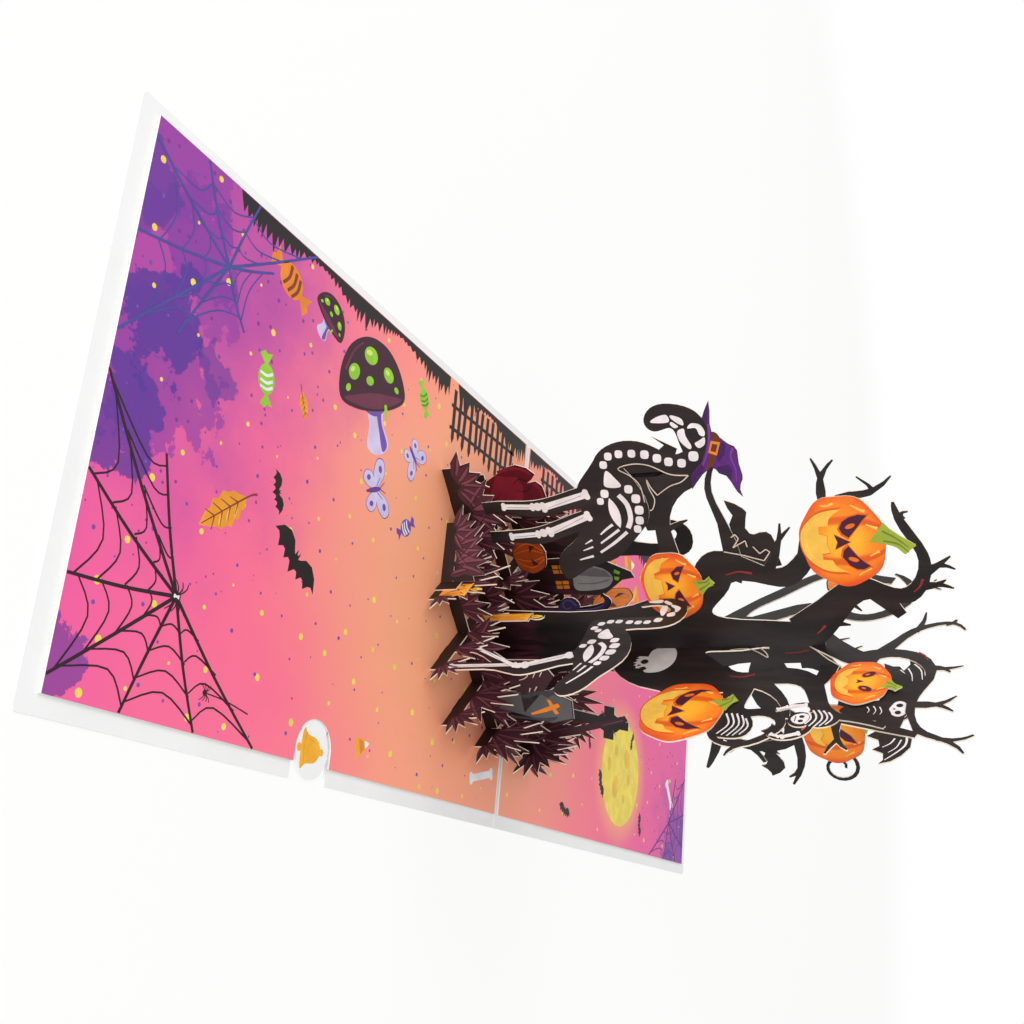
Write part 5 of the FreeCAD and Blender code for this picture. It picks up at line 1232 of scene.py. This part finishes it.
def buildBasePrint():
    onBase("near_bushes", "black", [silhouettes("near", -2.5, -60, 3, 9), silhouettes("near", -66, -186, 5, 8.5)], 1)
    onBase("far_bushes", "black", [silhouettes("far", 2.5, 96, 8, 10), silhouettes("far", 104, 190, 2, 8)], 1)
    onBase("near_fence", "black", fence(-14, 12, 4.3, 22, 4), 2)
    onBase("far_fence", "black", fence(62, 11, 4.6, 20, 6), 2)
    buildWeb("blue_web", "webBlue", (-48, -186),
             [(edgeLeft, -150), (edgeLeft, -178), (edgeLeft, -200), (-66, edgeNear), (-40, edgeNear), (-14, edgeNear),
              (-22, -200), (-34, -176), (-56, -168)], (0.3, 0.55, 0.8), 0.16, 0.7)
    buildWeb("black_web", "webBlack", (40, -184),
             [(edgeRight, -146), (edgeRight, -170), (edgeRight, -196), (edgeRight - 4, edgeNear), (44, edgeNear),
              (20, edgeNear), (-4, edgeNear), (8, -196)], (0.28, 0.5, 0.74, 0.95), 0.18, 0.75)
    spider("web_spider", (40, -184), 2.4, "webBlack", "white")
    spider("hanging_spider", (60, -168), 1.3, "webBlack", "webBlack")
    onBase("spider_thread", "webBlack", [stroke([(62, -150), (60.4, -160), (60, -168)], 0.4, 0.3)], 1)
    mushroom("mushroom", (-44, -112), 112, 0.98)
    mushroom("small_mushroom", (-56, -140), 62, 0.42)
    onBase("bats", "black", [batRing((18, -140), 25, 58), batRing((2, -152), 12.5, 20)], 1)
    leafPrint("leaf", (14, -172), -52, 1.0)
    leafPrint("small_leaf", (-26, -146), 30, 0.42)
    moth("moth", (-16, -104), 24, 0.78)
    moth("small_moth", (-34, -84), -38, 0.62)
    sweet("orange_sweet", (-58, -160), 64, 1.15, "sweet", "leafVein")
    sweet("lime_sweet", (-56, -82), 30, 0.72, "lime", "stemDark")
    sweet("violet_sweet", (-10, -84), -52, 0.66, "violetSoft", "white")
    sweet("lime_sweet_low", (-26, -164), 12, 0.86, "lime", "white")
    candyCorn("near_corn", (61, -94), 18, 0.55)
    onBase("fold_bone", "white", [bone((57, -7), (60.5, -22), 1.7)], 1)
    onBase("moon", "moon", [oval(38, 124, 23.5, 23.5, 0, 48)], 1)
    onBase("moon_spots", "moonSpot", [oval(*o) for o in ((31, 131, 4.4, 3.2, 20), (45, 118, 5.2, 3.6, -15), (40, 134, 2.4, 1.8),
                                                          (29, 117, 2.6, 2.0), (49, 129, 2.0, 1.6), (36, 109, 3.0, 1.8))], 2)
    onBase("far_bats", "black", [batRing((46, 100), 13, 28), batRing((22, 136), 9, -20), batRing((58, 152), 11, 10),
                                 batRing((62, 62), 12, 74), batRing((30, 84), 8, 12)], 3)
    onBase("far_bone", "white", [bone((34, 190), (44, 198), 2.0)], 1)
    buildWeb("far_web", "webViolet", (52, 196), [(edgeRight, 168), (edgeRight, 190), (edgeRight, 208), (62, edgeFar),
                                                 (46, edgeFar), (28, edgeFar), (30, 204)], (0.35, 0.65, 0.92), 0.16, 0.7)
    for i, (x, y, turn) in enumerate(((-58, 120, 20), (-44, 132, -35), (-60, 141, 75), (-38, 150, 130))):
        candyCorn("far_corn_%d" % i, (x, y), turn, 0.95)
    sweet("far_sweet", (-50, 102), 40, 1.0, "sweet", "white")
    sweet("far_lime_sweet", (-32, 118), -25, 0.9, "lime", "white")


def dotTree():
    # flat dots scattered over a panel, a fixed seed and a range of sizes
    tree, group, output = newTree("scattered_dots", [
        ("Width", "Float", 140.0), ("Length", "Float", 215.0), ("Spacing", "Float", 8.0), ("Density", "Float", 0.004),
        ("Smallest", "Float", 0.3), ("Largest", "Float", 1.1), ("Thickness", "Float", 0.04), ("Seed", "Int", 1),
        ("Keep clear", "Vector", (0.0, 0.0, 0.0)), ("Clear radius", "Float", 0.0), ("Material", "Material", None)])
    field = tree.nodes.new("GeometryNodeMeshGrid")
    tree.links.new(group.outputs["Width"], field.inputs["Size X"])
    tree.links.new(group.outputs["Length"], field.inputs["Size Y"])
    scatter = tree.nodes.new("GeometryNodeDistributePointsOnFaces")
    scatter.distribute_method = "POISSON"
    tree.links.new(field.outputs["Mesh"], scatter.inputs["Mesh"])
    tree.links.new(group.outputs["Spacing"], scatter.inputs["Distance Min"])
    tree.links.new(group.outputs["Density"], scatter.inputs["Density Max"])
    tree.links.new(group.outputs["Seed"], scatter.inputs["Seed"])
    away = tree.nodes.new("ShaderNodeVectorMath")
    away.operation = "DISTANCE"
    tree.links.new(tree.nodes.new("GeometryNodeInputPosition").outputs[0], away.inputs[0])
    tree.links.new(group.outputs["Keep clear"], away.inputs[1])
    close = tree.nodes.new("FunctionNodeCompare")
    close.operation = "LESS_THAN"
    tree.links.new(away.outputs["Value"], close.inputs[0])
    tree.links.new(group.outputs["Clear radius"], close.inputs[1])
    thinned = tree.nodes.new("GeometryNodeDeleteGeometry")
    tree.links.new(scatter.outputs["Points"], thinned.inputs[0])
    tree.links.new(close.outputs[0], thinned.inputs["Selection"])
    dot = tree.nodes.new("GeometryNodeMeshCylinder")
    dot.inputs["Vertices"].default_value = 12
    dot.inputs["Radius"].default_value = 1.0
    tree.links.new(group.outputs["Thickness"], dot.inputs["Depth"])
    sizes = tree.nodes.new("FunctionNodeRandomValue")
    tree.links.new(group.outputs["Smallest"], sizes.inputs[2])
    tree.links.new(group.outputs["Largest"], sizes.inputs[3])
    tree.links.new(group.outputs["Seed"], sizes.inputs["Seed"])
    flat = tree.nodes.new("ShaderNodeCombineXYZ")
    tree.links.new(sizes.outputs[1], flat.inputs[0])
    tree.links.new(sizes.outputs[1], flat.inputs[1])
    flat.inputs[2].default_value = 1.0
    spread = tree.nodes.new("GeometryNodeInstanceOnPoints")
    tree.links.new(thinned.outputs[0], spread.inputs["Points"])
    tree.links.new(dot.outputs["Mesh"], spread.inputs["Instance"])
    tree.links.new(flat.outputs[0], spread.inputs["Scale"])
    gathered(tree, spread.outputs[0], group, output)
    return tree


dots = {
    "near_yellow": {"ink": "dot", "side": -1, "spacing": 12.0, "sizes": (0.35, 1.1), "seed": 5},
    "far_yellow": {"ink": "dot", "side": 1, "spacing": 13.0, "sizes": (0.35, 1.0), "seed": 9},
    "near_violet": {"ink": "violetSoft", "side": -1, "spacing": 9.0, "sizes": (0.2, 0.6), "seed": 2},
}


def buildDots():
    tree = dotTree()
    for name, facts in dots.items():
        low, high = (nearLow, nearHigh) if facts["side"] < 0 else (farLow, farHigh)
        centre = Vector(((low.x + high.x) / 2, (low.y + high.y) / 2, floorTop))
        values = {"Width": (high.x - low.x) / mm - 4, "Length": (high.y - low.y) / mm - 6, "Spacing": facts["spacing"],
                  "Density": 0.02, "Smallest": facts["sizes"][0], "Largest": facts["sizes"][1],
                  "Seed": facts["seed"], "Material": ink(facts["ink"]),
                  "Keep clear": (66.0 - centre.x / mm, -118.6 - centre.y / mm, 0.0), "Clear radius": 12.0}
        blank = bpy.data.meshes.new(name)
        madeByTree(name + "_dots", tree, blank, values, Matrix.Translation(centre) @ Matrix.Diagonal((mm, mm, mm, 1)))


buildBasePrint()
buildDots()
print("base figures done")


# The bell on the slip's tab

tab = {"centre": (66.2, -119.6), "scale": 1.12}


def buildBell():
    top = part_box("pull_slip")[1].z
    matrix = Matrix.Translation((tab["centre"][0] * mm, tab["centre"][1] * mm, top)) @ Matrix.Diagonal((mm, mm, mm, 1))
    shapes = {
        "bell_body": ("bell", 1, [soft([(-5.0, -3.2), (-3.6, -1.4), (-3.0, 2.2), (-1.2, 4.2), (0, 4.6), (1.2, 4.2), (3.0, 2.2),
                                        (3.6, -1.4), (5.0, -3.2), (2.5, -3.9), (-2.5, -3.9)], 4),
                                  oval(0, 5.0, 0.9, 0.9, 0, 14), oval(0, -4.7, 1.1, 1.0, 0, 14)]),
        "bell_bands": ("leaf", 2, [stroke([(-4.0, -2.0), (0, -2.7), (4.0, -2.0)], 0.4, 0.4),
                                   stroke([(-1.8, 2.6), (-2.3, 0.4), (-2.6, -1.0)], 0.4, 0.2)]),
    }
    for name, (tone, layer, rings) in shapes.items():
        rings = [moved(ring, (0, 0), tab["scale"]) for ring in rings]
        printed(name, tone, matrix, rings, 0.0, layer, "slip")


buildBell()
print("tab done")


# Stage, light and camera

studio = {"world": 0.74, "floor": "#f6f5f3", "floorGlow": 0.8, "floorHalf": 12.0}
# name: power, size, place
lamps = {"key": (3.6, 0.9, (-0.75, -0.25, 1.1)), "front": (9.0, 1.0, (-0.08, -1.3, 0.28)),
         "side": (1.3, 1.2, (0.9, -0.9, 0.7))}


def buildStage():
    mesh = bpy.data.meshes.new("floor")
    half = studio["floorHalf"]
    mesh.from_pydata([(-half, -half, 0), (half, -half, 0), (half, half, 0), (-half, half, 0)], [], [(0, 1, 2, 3)])
    floor = bpy.data.objects.new("floor", mesh)
    bpy.context.scene.collection.objects.link(floor)
    material = newMaterial("pale_floor")
    shader = material.node_tree.nodes["Principled BSDF"]
    shader.inputs["Base Color"].default_value = rgba(studio["floor"])
    shader.inputs["Roughness"].default_value = 0.9
    # seen by the camera the floor is lifted towards white, and keeps the card's shadow
    tree = material.node_tree
    seen = tree.nodes.new("ShaderNodeLightPath").outputs["Is Camera Ray"]
    glow = tree.nodes.new("ShaderNodeEmission")
    mix = tree.nodes.new("ShaderNodeMixShader")
    spot = tree.nodes.new("ShaderNodeVectorMath")
    spot.operation = "LENGTH"
    tree.links.new(tree.nodes.new("ShaderNodeTexCoord").outputs["Object"], spot.inputs[0])
    glowShare = calc(tree, "MAXIMUM", between(tree, spot.outputs["Value"], 0.25, 1.1), studio["floorGlow"])
    tree.links.new(calc(tree, "MULTIPLY", seen, glowShare), mix.inputs[0])
    tree.links.new(shader.outputs[0], mix.inputs[1])
    tree.links.new(glow.outputs[0], mix.inputs[2])
    tree.links.new(mix.outputs[0], tree.nodes["Material Output"].inputs["Surface"])
    mesh.materials.append(material)
    world = bpy.data.worlds.new("studio")
    world.use_nodes = True
    world.node_tree.nodes["Background"].inputs[0].default_value = (1, 1, 1, 1)
    sky = world.node_tree.nodes["Background"]
    seen = world.node_tree.nodes.new("ShaderNodeLightPath").outputs["Is Camera Ray"]
    strength = calc(world.node_tree, "MAXIMUM", seen, studio["world"])
    world.node_tree.links.new(strength, sky.inputs[1])
    bpy.context.scene.world = world
    for name, (power, size, at) in lamps.items():
        lamp = bpy.data.lights.new(name, "AREA")
        lamp.energy, lamp.size = power, size
        lamp.shape = "DISK"
        light = bpy.data.objects.new(name, lamp)
        bpy.context.scene.collection.objects.link(light)
        light.location = at
        light.rotation_mode = "QUATERNION"
        light.rotation_quaternion = (Vector((0, 0, 0.05)) - Vector(at)).to_track_quat("-Z", "Y")


def buildCamera():
    # the photograph shows the card on its side, so the camera is rolled a quarter turn
    eye = Vector((0.1075, -0.4078, 0.2002))
    right = Vector((-0.08565, 0.41870, 0.90408))
    up = Vector((-0.94483, -0.32209, 0.05966))
    back = Vector((0.31618, -0.84909, 0.42319))
    data = bpy.data.cameras.new("camera")
    data.sensor_width = 36.0
    data.lens = 43.51
    camera = bpy.data.objects.new("camera", data)
    bpy.context.scene.collection.objects.link(camera)
    camera.matrix_world = Matrix.Translation(eye) @ Matrix((right, up, back)).transposed().to_4x4()
    data.clip_start, data.clip_end = 0.01, 20.0
    bpy.context.scene.camera = camera


buildStage()
buildCamera()
bpy.context.scene.view_settings.view_transform = "Standard"
print("stage done")
